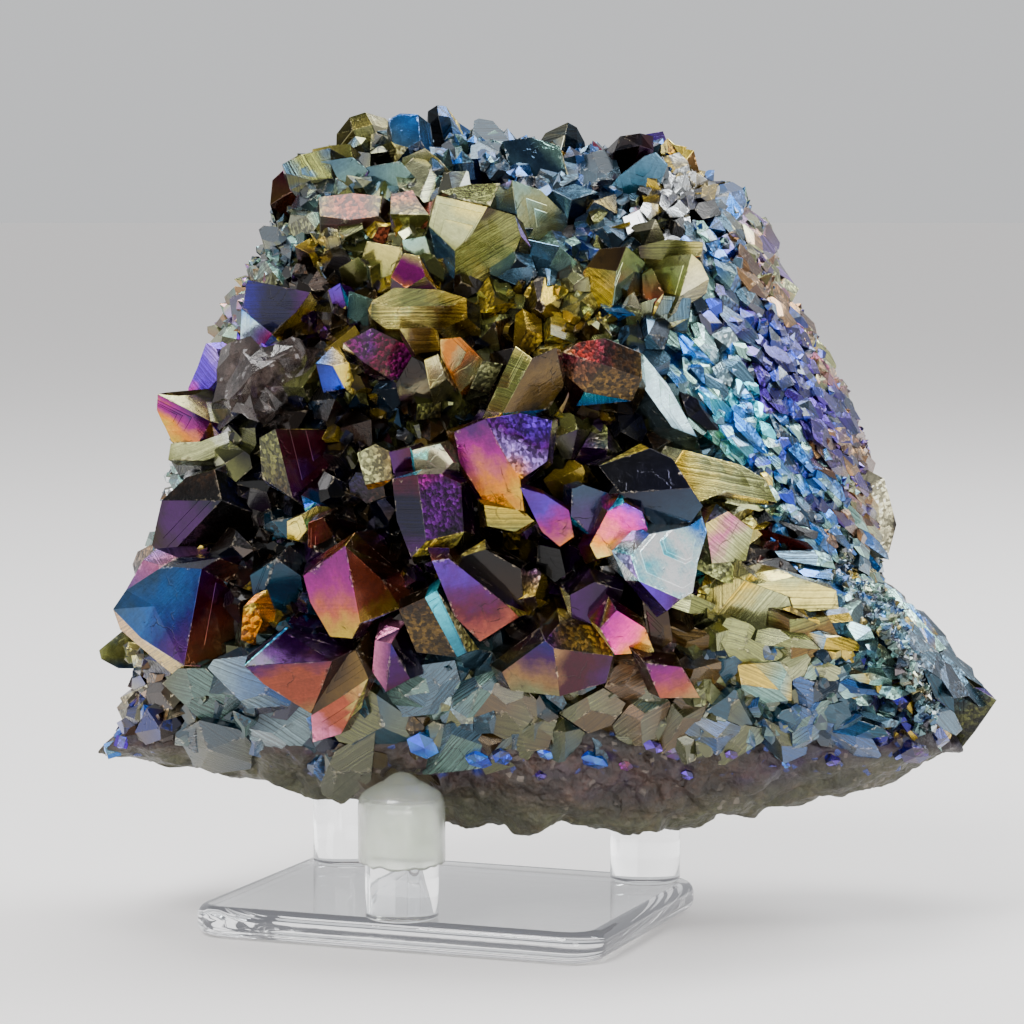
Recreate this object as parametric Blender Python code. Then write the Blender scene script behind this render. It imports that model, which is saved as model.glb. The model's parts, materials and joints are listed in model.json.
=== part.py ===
"""Aura quartz cluster resting on a clear three-peg acrylic stand.

Frame: X runs along the cluster's width, Y goes away from the front, Z is up.
The origin is the centre of the stand plate's underside.
Each crystal's flat faces are drawn on a front elevation, and each corner is then
set at its own depth on the mound that the crystals grow from.
"""
import math
import random

import bmesh
import bpy
from mathutils import Matrix, Vector, noise

MM = 0.001
GAP = 0.3 * MM

# ---------------------------------------------------------------- stand
PLATE_LENGTH = 57.15 * MM
PLATE_WIDTH = 44.45 * MM
PLATE_THICKNESS = 4.0 * MM
PLATE_CORNER = 5.0 * MM
PLATE_EDGE = 1.6 * MM
STAND_YAW = math.radians(-20.88)
PEG_RADIUS = 9.53 / 2 * MM
PEG_SIDES = 28
PEG_PLACES = {
    "front": (1.05 * MM, -19.1 * MM),
    "rear_right": (21.8 * MM, 17.27 * MM),
    "rear_left": (-21.45 * MM, 15.27 * MM),
}
PEG_TOP = 19.4 * MM
CAP_RADIUS = 5.65 * MM
CAP_RIM = 11.2 * MM
CAP_SHOULDER = 19.6 * MM
CAP_LEDGE = 21.7 * MM
CAP_TIP = 23.0 * MM
SEAT_CLEARANCE = 0.6 * MM

# ---------------------------------------------------------------- elevation
# The elevation is a perspective drawing, 1024 units square, seen from EYE_DISTANCE.
SHEET_MIDDLE = 512.0
SHEET_LENS = 3848.0
EYE_DISTANCE = 511.3 * MM
EYE_TILT = math.radians(5.19)
EYE_AIM = Vector((8.4, 0.0, 55.0)) * MM
UNITS_PER_MM = 7.53

# ---------------------------------------------------------------- mound
# The mound's outline on the elevation, clockwise from the top left.
MOUND_OUTLINE = (
    (276, 215), (292, 168), (340, 146), (400, 128), (470, 132), (540, 144), (600, 152),
    (660, 144), (692, 166), (738, 190), (768, 228), (784, 276), (812, 336), (846, 390),
    (866, 440), (880, 520), (880, 578), (916, 606), (952, 648), (984, 696), (958, 742),
    (905, 768), (830, 792), (740, 820), (645, 836), (560, 828), (470, 818), (400, 814),
    (345, 800), (262, 772), (170, 760), (108, 752), (136, 690), (126, 630), (146, 570),
    (164, 500), (176, 440), (196, 390), (214, 336), (240, 282), (262, 248),
)
MOUND_MIDDLE = (520, 490)
MOUND_FRONT = -24.0
MOUND_BACK = 35.0
FRONT_ROUNDNESS = 2.3
# How full the back of the mound is, by the same compass: it is undercut at the foot.
BACK_ROUNDNESS = ((0, 2.6), (235, 2.6), (258, 2.45), (288, 1.65), (320, 2.0), (345, 2.6), (360, 2.6))
# Depth of the mound's rim by compass angle seen from the front, 0 right and 90 up: angle, mm.
RIM_DEPTHS = (
    (0, 20.0), (40, 22.0), (75, 13.0), (105, 12.0), (140, 9.0), (180, 10.0), (215, 4.0),
    (240, -4.0), (270, -11.0), (300, -10.0), (325, -3.0), (345, 12.0), (360, 20.0),
)
MOUND_STEPS = 4
RIM_BAND = 0.07
ROCK_COARSE = 2.4 * MM
ROCK_COARSE_SCALE = 90
ROCK_FINE = 1.3 * MM
ROCK_FINE_SCALE = 300
ROCK_SEED = 5
CORE = Vector((10.0, 12.0, 56.0)) * MM
ROOT_LENGTH = 13.0 * MM

# ---------------------------------------------------------------- crystals
# name: (how far the tips stand proud of the mound in mm, how far the faces fall back
# from the tips in mm per mm, the letters of the tips, the faces as words of corner
# letters, and the corners a, b, c ... on the elevation).
CRYSTALS = {
    # top row, left to right
    "brown_shoulder": (1.5, 0.7, "g", "gabc gcde gefa", (
        (270, 205), (272, 180), (283, 170), (310, 178), (308, 195), (290, 225), (291, 192))),
    "shoulder_slab": (0.5, 0.5, "d", "abcdef", (
        (282, 164), (298, 155), (330, 148), (332, 178), (310, 180), (286, 173))),
    "dark_bead": (1.5, 0.8, "f", "fabc fcd fdea", (
        (295, 246), (310, 238), (322, 250), (318, 272), (299, 271), (308, 253))),
    "olive_peak": (1.5, 0.8, "ag", "afedg agdcb", (
        (365, 112), (385, 118), (391, 139), (362, 152), (337, 134), (350, 117), (365, 134))),
    "khaki_cheek": (0.5, 0.4, "d", "abcde", (
        (312, 149), (331, 145), (350, 144), (352, 158), (322, 162))),
    "sky_blade": (1.0, 0.5, "d", "abcdef", (
        (388, 119), (400, 113), (418, 114), (420, 140), (408, 147), (393, 143))),
    "gold_step": (0.5, 0.5, "b", "abcde", (
        (362, 153), (391, 141), (404, 151), (398, 163), (364, 166))),
    "slate_peak": (2.0, 0.9, "ai", "ahgfi aifedcb", (
        (437, 105), (446, 106), (458, 122), (470, 130), (465, 150), (440, 160), (424, 142),
        (428, 111), (439, 130))),
    "ice_blade": (1.5, 0.6, "a", "abcde", (
        (471, 130), (491, 123), (504, 140), (492, 157), (470, 151))),
    "left_steel_step": (1.5, 0.5, "c", "abcdef", (
        (318, 162), (352, 157), (368, 170), (353, 192), (320, 194), (310, 179))),
    "middle_steel_step": (1.5, 0.5, "c", "abcde", (
        (366, 167), (400, 161), (411, 173), (392, 194), (356, 191))),
    "pale_gold_step": (2.0, 0.6, "c", "abcdef", (
        (402, 158), (425, 148), (440, 160), (434, 187), (413, 190), (400, 175))),
    "salmon_step": (2.0, 0.5, "de", "abcdef", (
        (318, 197), (352, 193), (382, 196), (379, 216), (350, 220), (320, 216))),
    "coral_block": (2.0, 0.9, "dg", "gabcd gdef", (
        (391, 194), (412, 190), (420, 203), (429, 215), (425, 236), (401, 238), (390, 214))),
    "slate_foot": (1.0, 0.5, "a", "abcdef", (
        (446, 160), (480, 158), (505, 164), (500, 187), (470, 190), (441, 190))),
    # crown, the largest crystal of the top
    "crown": (6.0, 0.75, "bm", "abmlk bcdenilm klij infgh", (
        (437, 195), (487, 207), (515, 215), (521, 236), (511, 262), (513, 285), (490, 299),
        (475, 297), (455, 291), (437, 265), (429, 225), (455, 251), (471, 235), (504, 276))),
    "crown_collar": (2.5, 0.4, "d", "abcde", (
        (440, 191), (470, 184), (500, 183), (490, 206), (462, 200))),
    "east_peak": (3.5, 0.8, "ad", "abcd adhgfe", (
        (512, 180), (499, 185), (489, 207), (517, 214), (541, 190), (579, 228), (562, 245),
        (523, 236))),
    "east_block": (3.0, 0.6, "b", "abfge bcdf", (
        (521, 238), (560, 246), (577, 262), (556, 287), (510, 262), (541, 282), (514, 281))),
    "steel_brow": (1.5, 0.5, "d", "abcdef", (
        (503, 141), (530, 137), (560, 146), (566, 172), (540, 179), (508, 166))),
    "pale_peak": (1.5, 0.8, "ae", "afe aedcb", (
        (568, 122), (577, 127), (585, 142), (581, 162), (561, 150), (545, 133))),
    "small_steel": (1.0, 0.5, "b", "abcd", (
        (566, 168), (586, 158), (600, 170), (578, 184))),
    "maroon_mass": (2.5, 0.8, "bi", "bifgha bcdefi", (
        (609, 147), (620, 136), (640, 133), (653, 136), (645, 155), (620, 177), (600, 172),
        (597, 152), (618, 156))),
    "teal_blade": (3.0, 0.5, "a", "abcdefg", (
        (618, 177), (645, 156), (656, 152), (668, 164), (658, 190), (640, 207), (622, 200))),
    "violet_chip": (1.0, 0.5, "c", "abcd", (
        (646, 134), (663, 131), (670, 150), (650, 153))),
    "tan_block": (0.8, 0.6, "f", "fabc fcd fdea", (
        (667, 138), (677, 147), (694, 150), (701, 180), (672, 183), (684, 163))),
    "blue_block": (2.5, 0.7, "f", "fabc fcde fea", (
        (552, 190), (575, 184), (598, 192), (595, 216), (568, 219), (572, 200))),
    "slate_block": (2.0, 0.5, "b", "abcde", (
        (600, 180), (617, 179), (639, 203), (630, 213), (604, 208))),
    "ember_chip": (2.0, 0.7, "a", "abcd", (
        (611, 227), (630, 221), (635, 241), (617, 249))),
    "straw_block": (2.5, 0.7, "f", "fabc fcdea", (
        (634, 224), (655, 219), (665, 238), (646, 249), (632, 241), (647, 234))),
    "olive_bar": (3.0, 0.5, "ab", "abcdef", (
        (639, 246), (668, 239), (703, 242), (701, 256), (665, 260), (640, 258))),
    "olive_fork": (4.5, 0.8, "j", "iabj jbcde ijefgh", (
        (600, 249), (626, 246), (646, 263), (628, 290), (612, 305), (600, 323), (579, 313),
        (582, 286), (587, 267), (617, 271))),
    "khaki_roof": (4.0, 0.8, "ce", "abcef cdge", (
        (650, 266), (668, 256), (692, 254), (701, 262), (680, 296), (663, 293), (709, 279))),
    "rose_block": (3.0, 0.6, "c", "abcde", (
        (642, 274), (652, 268), (664, 293), (655, 303), (643, 298))),
    "grey_shelf": (3.0, 0.5, "b", "abcdef", (
        (640, 303), (664, 296), (691, 298), (689, 318), (660, 325), (641, 320))),
    "pale_spike": (4.0, 0.8, "a", "abe bcde", (
        (634, 291), (642, 310), (639, 332), (627, 330), (626, 306))),
    # left side
    "navy_prism": (3.5, 0.8, "gb", "abgeh bcdeg heji", (
        (249, 279), (311, 292), (319, 308), (300, 342), (272, 334), (244, 306), (296, 312),
        (242, 308), (240, 344), (262, 347))),
    "lilac_blade": (1.0, 0.5, "de", "abcdefg", (
        (188, 388), (197, 368), (206, 343), (216, 349), (223, 372), (206, 392), (187, 399))),
    "smoky_chunk": (4.0, 0.7, "jk", "abji bckj cdek efk kfgj jghi", (
        (217, 350), (260, 344), (300, 342), (321, 352), (317, 368), (281, 401), (262, 426),
        (238, 419), (213, 405), (250, 377), (291, 362))),
    "left_point": (2.5, 0.7, "ad", "abcd adefg", (
        (157, 394), (189, 391), (206, 402), (211, 421), (199, 442), (172, 442), (157, 410))),
    "cream_ledge": (1.5, 0.5, "bc", "abcdef", (
        (171, 443), (200, 442), (228, 431), (231, 452), (205, 461), (168, 460))),
    "dark_wing": (4.0, 0.8, "j", "jabc jcde jefgh jhia", (
        (162, 500), (185, 478), (215, 469), (243, 480), (263, 515), (273, 541), (205, 554),
        (165, 560), (152, 545), (221, 501))),
    "maroon_roof": (5.0, 0.7, "be", "abef bcde", (
        (259, 438), (275, 429), (331, 430), (348, 450), (292, 498), (262, 478))),
    "yellow_chip": (4.0, 0.6, "b", "abcde", (
        (287, 521), (301, 515), (307, 530), (298, 541), (287, 539))),
    "teal_chip": (4.0, 0.6, "a", "abc", (
        (301, 495), (320, 505), (308, 523))),
    "rosewood_chip": (4.0, 0.6, "a", "abcde", (
        (308, 523), (323, 517), (333, 535), (323, 551), (308, 547))),
    # centre top
    "olive_table": (4.0, 0.6, "b", "abcde", (
        (367, 241), (402, 248), (390, 276), (374, 280), (361, 260))),
    "sunset_chip": (4.0, 0.6, "e", "abcde", (
        (391, 277), (404, 253), (419, 256), (425, 276), (406, 288))),
    "mint_chip": (4.0, 0.6, "a", "abcde", (
        (402, 240), (425, 236), (431, 255), (419, 263), (405, 252))),
    "dark_cube": (3.5, 0.7, "b", "abcde", (
        (339, 268), (358, 257), (373, 272), (368, 288), (344, 289))),
    "plum_splinter": (3.5, 0.6, "b", "abcd", (
        (328, 290), (340, 283), (346, 306), (335, 314))),
    "teal_triangle": (4.5, 0.6, "a", "abcd", (
        (349, 291), (376, 300), (362, 325), (347, 317))),
    "gold_log": (6.0, 0.9, "ij", "abcdji ijdefgha", (
        (372, 301), (395, 287), (440, 289), (466, 298), (467, 318), (440, 331), (385, 329),
        (371, 318), (386, 307), (454, 306))),
    "gold_kite": (4.0, 0.7, "f", "fabc fcd fdea", (
        (316, 363), (332, 347), (349, 362), (345, 388), (323, 393), (333, 366))),
    "maroon_slab": (5.5, 0.5, "b", "abf bcdef", (
        (343, 343), (372, 328), (405, 344), (413, 355), (395, 383), (362, 361))),
    "striped_chip": (5.0, 0.5, "a", "abcd", (
        (399, 328), (437, 327), (441, 350), (415, 354))),
    "pale_chip": (5.5, 0.6, "a", "abcd", (
        (424, 360), (438, 354), (446, 379), (430, 389))),
    "black_block": (5.0, 0.6, "b", "abcdef", (
        (396, 384), (412, 356), (427, 364), (441, 391), (421, 405), (400, 401))),
    "peach_blade": (6.5, 0.6, "ab", "abcdef", (
        (440, 339), (460, 337), (483, 360), (474, 379), (460, 392), (441, 356))),
    "khaki_rubble": (5.0, 0.6, "a", "abcd", (
        (483, 361), (503, 364), (489, 394), (470, 388))),
    "olive_prism": (7.0, 0.7, "cde", "abcde dfghe", (
        (486, 411), (505, 370), (516, 347), (532, 358), (503, 413), (556, 347), (564, 386),
        (548, 409))),
    "ember_dome": (6.0, 0.5, "i", "iabc icde iefg igha", (
        (562, 352), (580, 342), (605, 338), (641, 353), (642, 378), (632, 401), (585, 392),
        (560, 370), (602, 364))),
    "mint_ridge": (5.5, 0.5, "ac", "abcde", (
        (643, 354), (668, 385), (698, 438), (672, 427), (645, 389))),
    # centre, facing the front
    "heart": (8.0, 0.7, "bcd", "abcdefg bhijdc", (
        (454, 432), (485, 419), (505, 456), (520, 480), (524, 510), (485, 504), (460, 463),
        (520, 413), (552, 420), (547, 461))),
    "heart_foot": (6.0, 0.6, "ab", "abcde", (
        (484, 505), (523, 511), (534, 521), (515, 532), (487, 526))),
    "mint_wedge": (6.0, 0.6, "b", "abcde", (
        (412, 450), (440, 444), (453, 462), (441, 474), (414, 471))),
    "maroon_chip": (5.5, 0.6, "b", "abcd", (
        (389, 452), (410, 447), (413, 472), (393, 478))),
    "grey_chip": (5.0, 0.6, "c", "abcde", (
        (357, 453), (375, 444), (390, 452), (392, 479), (365, 485))),
    "plum_column": (7.0, 0.6, "bj", "abjgh bcdej jefg", (
        (392, 479), (417, 475), (441, 474), (461, 483), (464, 531), (453, 553), (411, 557),
        (397, 520), (402, 490), (426, 541))),
    "violet_flame": (7.0, 0.6, "ab", "abcdef", (
        (520, 487), (545, 495), (569, 510), (574, 537), (560, 547), (542, 532))),
    "slate_kite": (7.0, 0.6, "ab", "abcdef", (
        (572, 489), (584, 485), (611, 494), (619, 506), (598, 542), (571, 516))),
    "navy_roof": (8.0, 0.5, "hd", "abcdh hdefg", (
        (599, 466), (650, 448), (673, 459), (691, 488), (703, 506), (691, 523), (655, 526),
        (620, 493))),
    "pink_flame": (8.0, 0.5, "bc", "abcdefg", (
        (608, 511), (625, 503), (642, 512), (648, 531), (618, 554), (597, 559), (590, 545))),
    "white_face": (9.0, 0.45, "hi", "abcdefghi hgj", (
        (650, 534), (690, 526), (702, 517), (707, 531), (698, 562), (693, 592), (681, 599),
        (639, 581), (631, 556), (667, 611))),
    "amber_face": (8.0, 0.45, "ga", "abcdefg", (
        (671, 470), (683, 450), (741, 465), (766, 480), (777, 502), (726, 492), (696, 503))),
    "blush_face": (7.0, 0.6, "a", "abcde", (
        (706, 524), (728, 511), (753, 530), (746, 561), (712, 563))),
    "blush_chip": (6.0, 0.6, "a", "abcd", (
        (699, 563), (713, 564), (724, 582), (703, 592))),
    "bronze_block": (5.0, 0.6, "b", "abf bcdef", (
        (700, 593), (750, 574), (791, 598), (789, 630), (742, 642), (702, 629))),
    "striped_ledge": (4.0, 0.6, "ab", "abcdef", (
        (756, 584), (795, 577), (836, 590), (839, 609), (795, 613), (790, 597))),
    "copper_block": (3.0, 0.6, "a", "abcde", (
        (790, 620), (828, 616), (843, 645), (838, 664), (791, 660))),
    # lower left
    "great_wedge": (6.0, 0.7, "de", "acdefg dhikle abc gfemn", (
        (126, 590), (143, 560), (163, 566), (202, 568), (184, 665), (140, 638), (113, 609),
        (223, 580), (243, 606), (230, 640), (241, 651), (206, 663), (177, 681), (118, 632))),
    "gold_tooth": (5.0, 0.7, "a", "abcde", (
        (243, 607), (254, 602), (262, 622), (252, 645), (241, 640))),
    "teal_foot": (1.5, 0.6, "b", "abcdef", (
        (99, 650), (120, 633), (148, 648), (150, 669), (118, 669), (101, 659))),
    "cream_foot": (1.0, 0.5, "b", "abcde", (
        (121, 696), (150, 684), (171, 695), (167, 719), (131, 724))),
    "mint_block": (4.0, 0.7, "g", "gfab gbcd gdef", (
        (191, 690), (215, 667), (245, 671), (241, 736), (205, 743), (189, 720), (223, 697))),
    "dark_slot": (2.5, 0.5, "b", "abcde", (
        (246, 672), (266, 684), (270, 715), (263, 740), (242, 736))),
    "frost_block": (3.5, 0.6, "b", "abcde", (
        (270, 712), (290, 699), (312, 716), (309, 745), (274, 748))),
    "long_wedge": (6.0, 0.7, "ac", "abc acde", (
        (244, 666), (285, 631), (332, 661), (311, 714), (264, 684))),
    "magenta_flag": (6.5, 0.6, "be", "abefgh bcde", (
        (303, 576), (345, 546), (383, 580), (400, 609), (360, 623), (352, 638), (330, 637),
        (310, 602))),
    "teal_glass": (4.5, 0.6, "b", "abf bcdef", (
        (250, 575), (276, 559), (301, 576), (305, 606), (285, 623), (256, 612))),
    # lower centre
    "indigo_tooth": (6.0, 0.7, "b", "abde bcd", (
        (375, 640), (391, 644), (410, 679), (386, 692), (372, 672))),
    "amber_plate": (7.0, 0.6, "be", "abcd befc", (
        (399, 609), (425, 598), (457, 657), (416, 653), (437, 591), (467, 652))),
    "violet_plate": (8.0, 0.5, "ab", "abcdef", (
        (432, 561), (449, 559), (506, 604), (519, 617), (480, 642), (455, 617))),
    "dark_hollow": (5.0, 0.5, "b", "abcde", (
        (455, 558), (486, 550), (521, 569), (524, 606), (506, 602))),
    "cream_wedge": (6.0, 0.7, "ad", "abcdi aidfgh", (
        (311, 716), (330, 664), (356, 649), (368, 679), (366, 684), (351, 717), (341, 734),
        (313, 742), (336, 700))),
    "olive_wedge": (5.0, 0.6, "b", "abcde", (
        (352, 717), (369, 686), (396, 692), (399, 726), (364, 735))),
    "green_foot": (3.5, 0.6, "b", "abcdef", (
        (342, 736), (364, 736), (399, 728), (406, 766), (370, 786), (336, 772))),
    "striped_shelf": (6.0, 0.5, "bc", "abcdef", (
        (413, 672), (450, 659), (496, 668), (506, 691), (470, 702), (420, 700))),
    "mint_shelf": (5.5, 0.6, "b", "abg bcdeg agef", (
        (401, 701), (426, 691), (456, 701), (459, 743), (425, 750), (399, 731), (428, 712))),
    "cream_shelf": (5.5, 0.6, "g", "gabc gcd gdefa", (
        (459, 706), (490, 698), (514, 708), (512, 743), (480, 749), (460, 743), (487, 714))),
    "steel_shelf": (5.0, 0.5, "b", "abcdef", (
        (518, 701), (550, 692), (591, 695), (593, 739), (550, 746), (519, 741))),
    "tan_roof": (8.0, 0.7, "i", "bcdei iefg abigh", (
        (502, 672), (545, 640), (560, 623), (600, 627), (613, 655), (606, 683), (560, 696),
        (511, 691), (554, 649))),
    "orchid_kite": (8.0, 0.6, "b", "abcde", (
        (600, 628), (617, 611), (645, 628), (654, 652), (615, 655))),
    "plum_hollow": (6.0, 0.6, "b", "abcdef", (
        (570, 595), (595, 583), (623, 590), (617, 611), (598, 628), (572, 623))),
    "brown_ridge": (7.0, 0.6, "a", "abcde", (
        (640, 583), (668, 611), (673, 641), (655, 652), (646, 628))),
    "khaki_tooth": (7.0, 0.6, "a", "abcd", (
        (612, 657), (643, 655), (649, 689), (620, 693))),
    "magenta_tooth": (7.0, 0.6, "a", "abcd", (
        (645, 663), (682, 667), (700, 698), (660, 698))),
    "olive_shelf": (5.5, 0.5, "bc", "abcdefg", (
        (611, 696), (648, 691), (700, 699), (723, 701), (719, 726), (665, 730), (613, 724))),
    "grey_wedge": (5.5, 0.6, "b", "abcdef", (
        (700, 669), (730, 661), (763, 670), (759, 700), (722, 700), (702, 694))),
    "blue_shelf": (4.5, 0.6, "b", "abcd", (
        (735, 701), (768, 693), (773, 739), (740, 742))),
    "long_shelf": (3.5, 0.6, "b", "abcdef", (
        (771, 695), (815, 686), (861, 694), (863, 737), (815, 748), (775, 740))),
    # right end
    "end_block": (0.5, 0.6, "a", "abcde", (
        (868, 485), (884, 478), (897, 525), (889, 553), (874, 545))),
    "broken_corner": (2.0, 0.6, "b", "abcdef", (
        (944, 700), (975, 688), (996, 699), (976, 731), (960, 751), (946, 746))),
}

# ---------------------------------------------------------------- small crystals and rock
GROWTH = "growth"
THINNED_SHARES = tuple(0.5 + 0.004 * step for step in range(-12, 8))
WELD = 0.002 * MM
FILLER_SEED = 7
FILLER_TRIES = 3000
FILLER_COUNT = 110
FILLER_SPACING = 23.0
FILLER_RADIUS = (1.5, 3.0)
FILLER_PROUD = (1.2, 3.6)
FILLER_ACROSS = (110, 900)
FILLER_DOWN = (118, 745)
SCALE_SEED = 11
SCALE_ROWS = 8
SCALES_IN_ROW = 15
SCALE_TOP = 226
SCALE_STEP = 36
SCALE_FOOT = 740
SCALE_MARGIN = 12
SCALE_ROW_STEP = 27
SCALE_ROW_DROP = 9
SCALE_JITTER = 7
SCALE_SWAY = 6
SCALE_RADIUS = (2.6, 4.2)
SCALE_PROUD = (1.2, 2.4)
LUMP_SEED = 23
LUMP_COUNT = 50
LUMP_RADIUS = (1.4, 3.4)
LUMP_SUNK = 1.2 * MM
# Where lumps stand: compass angles along the foot, and how far out from the middle.
FOOT_COMPASS = (205, 335)
FOOT_SHARE = (0.86, 0.99)
BACK_SHARE = (0.1, 0.95)


def material(name, colour, metallic=0.0, roughness=0.3, transmission=0.0):
    made = bpy.data.materials.new(name)
    made.use_nodes = True
    shader = made.node_tree.nodes["Principled BSDF"]
    shader.inputs["Base Color"].default_value = (*colour, 1.0)
    shader.inputs["Metallic"].default_value = metallic
    shader.inputs["Roughness"].default_value = roughness
    shader.inputs["Transmission Weight"].default_value = transmission
    return made


def add_object(name, bm, finish=None, smooth=False):
    mesh = bpy.data.meshes.new(name)
    bm.to_mesh(mesh)
    bm.free()
    made = bpy.data.objects.new(name, mesh)
    bpy.context.scene.collection.objects.link(made)
    if finish:
        mesh.materials.append(finish)
    if smooth:
        mesh.shade_smooth()
        mesh.set_sharp_from_angle(angle=math.radians(35))
    return made


def make_guide(made):
    made.hide_render = True
    made.display_type = "WIRE"
    return made


# ---------------------------------------------------------------- elevation to space
BACKWARD = Vector((0.0, -math.cos(EYE_TILT), math.sin(EYE_TILT)))
UPWARD = Vector((0.0, math.sin(EYE_TILT), math.cos(EYE_TILT)))
EYE = EYE_AIM + BACKWARD * EYE_DISTANCE


def at(u, v, depth):
    """The point seen at (u, v) on the elevation that lies `depth` metres back."""
    across = (u - SHEET_MIDDLE) / SHEET_LENS
    rise = (SHEET_MIDDLE - v) / SHEET_LENS
    sight = Vector((across, 0.0, 0.0)) + UPWARD * rise - BACKWARD
    return EYE + sight * ((depth - EYE.y) / sight.y)


def round_compass(table, angle):
    """Reads a table of (angle, value) smoothly at a compass angle in degrees."""
    angle = angle % 360
    for (a0, d0), (a1, d1) in zip(table, table[1:]):
        if a0 <= angle <= a1:
            share = (angle - a0) / (a1 - a0)
            return d0 + (d1 - d0) * share * share * (3 - 2 * share)
    return table[0][1]


def rim_depth(angle):
    return round_compass(RIM_DEPTHS, angle)


def rim_reach(angle):
    """How far the outline lies from the mound's middle, in elevation units."""
    way = (math.cos(math.radians(angle)), -math.sin(math.radians(angle)))
    reach = 0.0
    corners = MOUND_OUTLINE + MOUND_OUTLINE[:1]
    for (x0, y0), (x1, y1) in zip(corners, corners[1:]):
        x0, y0 = x0 - MOUND_MIDDLE[0], y0 - MOUND_MIDDLE[1]
        x1, y1 = x1 - MOUND_MIDDLE[0], y1 - MOUND_MIDDLE[1]
        side = (x1 - x0, y1 - y0)
        cross = way[0] * side[1] - way[1] * side[0]
        if abs(cross) < 1e-9:
            continue
        distance = (x0 * side[1] - y0 * side[0]) / cross
        along = (x0 * way[1] - y0 * way[0]) / cross
        if distance > 0 and 0 <= along <= 1:
            reach = max(reach, distance)
    return reach


def bulge(share, roundness):
    return max(0.0, 1 - share ** roundness) ** (1 / roundness)


def mound_depth(u, v):
    """Depth in mm of the mound's front at (u, v)."""
    du, dv = u - MOUND_MIDDLE[0], MOUND_MIDDLE[1] - v
    angle = math.degrees(math.atan2(dv, du))
    share = min(1.0, math.hypot(du, dv) / rim_reach(angle))
    rim = rim_depth(angle)
    return rim + (MOUND_FRONT - rim) * bulge(share, FRONT_ROUNDNESS)


def mound_normal(u, v):
    step = 6.0
    right = at(u + step, v, mound_depth(u + step, v) * MM)
    left = at(u - step, v, mound_depth(u - step, v) * MM)
    above = at(u, v - step, mound_depth(u, v - step) * MM)
    below = at(u, v + step, mound_depth(u, v + step) * MM)
    normal = (right - left).cross(above - below)
    return normal.normalized()


def rock(point):
    """Rough displacement of the matrix at a point."""
    coarse = noise.noise_vector(point * ROCK_COARSE_SCALE) * ROCK_COARSE
    fine = noise.noise_vector(point * ROCK_FINE_SCALE) * ROCK_FINE
    return point + coarse + fine


def mound_point(way):
    """The mound's surface in the direction `way` from its middle."""
    angle = math.degrees(math.atan2(way.z, way.x))
    out, forward = math.hypot(way.x, way.z), abs(way.y)
    if forward < RIM_BAND:
        forward = 0.0
    if way.y < 0:
        far, roundness = MOUND_FRONT, FRONT_ROUNDNESS
    else:
        far, roundness = MOUND_BACK, round_compass(BACK_ROUNDNESS, angle)
    scale = (out ** roundness + forward ** roundness) ** (1 / roundness)
    reach = rim_reach(angle) * out / scale
    rim = rim_depth(angle)
    depth = rim + (far - rim) * forward / scale
    u = MOUND_MIDDLE[0] + reach * math.cos(math.radians(angle))
    v = MOUND_MIDDLE[1] - reach * math.sin(math.radians(angle))
    return at(u, v, depth * MM)


def make_mound():
    bm = bmesh.new()
    bmesh.ops.create_icosphere(bm, subdivisions=MOUND_STEPS, radius=1.0)
    for vert in bm.verts:
        vert.co = rock(mound_point(vert.co))
    bmesh.ops.recalc_face_normals(bm, faces=bm.faces)
    return bm


# ---------------------------------------------------------------- main crystals
def flatten(points, faces):
    """Moves the corners in depth until each drawn face lies in one plane."""
    for _ in range(60):
        moved = {letter: [] for letter in points}
        for word in faces:
            ring = [points[letter] for letter in word]
            middle = sum(ring, Vector()) / len(ring)
            normal = Vector()
            for a, b in zip(ring, ring[1:] + ring[:1]):
                normal += (a - middle).cross(b - middle)
            for letter, corner in zip(word, ring):
                slip = (corner - middle).dot(normal) / normal.y
                moved[letter].append(corner.y - slip)
        for letter, depths in moved.items():
            if depths:
                points[letter].y = sum(depths) / len(depths)
    return points


def crystal_corners(row):
    """The corners of one drawn crystal, in space."""
    proud, drop, tips, words, sheet = row
    letters = "abcdefghijklmn"[:len(sheet)]
    seen = dict(zip(letters, sheet))
    tip_depth = min(mound_depth(*seen[tip]) for tip in tips) - proud
    points = {}
    for letter, (u, v) in seen.items():
        away = min(math.hypot(u - seen[t][0], v - seen[t][1]) for t in tips)
        points[letter] = at(u, v, (tip_depth + drop * away / UNITS_PER_MM) * MM)
    faces = words.split()
    return flatten(points, faces), faces


def add_crystal(row):
    """A closed crystal: its drawn faces in front, straight sides, a root in the mound."""
    points, faces = crystal_corners(row)
    middle = sum(points.values(), Vector()) / len(points)
    root = (CORE - middle).normalized()
    length = min(ROOT_LENGTH, (CORE - middle).length * 0.7)
    part = bmesh.new()
    corners = {letter: part.verts.new(point) for letter, point in points.items()}
    for word in faces:
        part.faces.new([corners[letter] for letter in word])
    grown = bmesh.ops.extrude_face_region(part, geom=part.faces[:], use_keep_orig=True)
    back = [item for item in grown["geom"] if isinstance(item, bmesh.types.BMVert)]
    centre = sum((vert.co for vert in back), Vector()) / len(back)
    for vert in back:
        vert.co = centre + (vert.co - centre) * 0.8 + root * length
    bmesh.ops.triangulate(part, faces=part.faces)
    bmesh.ops.recalc_face_normals(part, faces=part.faces)
    grow(part)


def grow(part):
    """Keeps a closed shape as a guide that the cluster is united with."""
    guide = make_guide(add_object("growth", part))
    bpy.context.scene.collection.objects.unlink(guide)
    bpy.data.collections[GROWTH].objects.link(guide)


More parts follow.
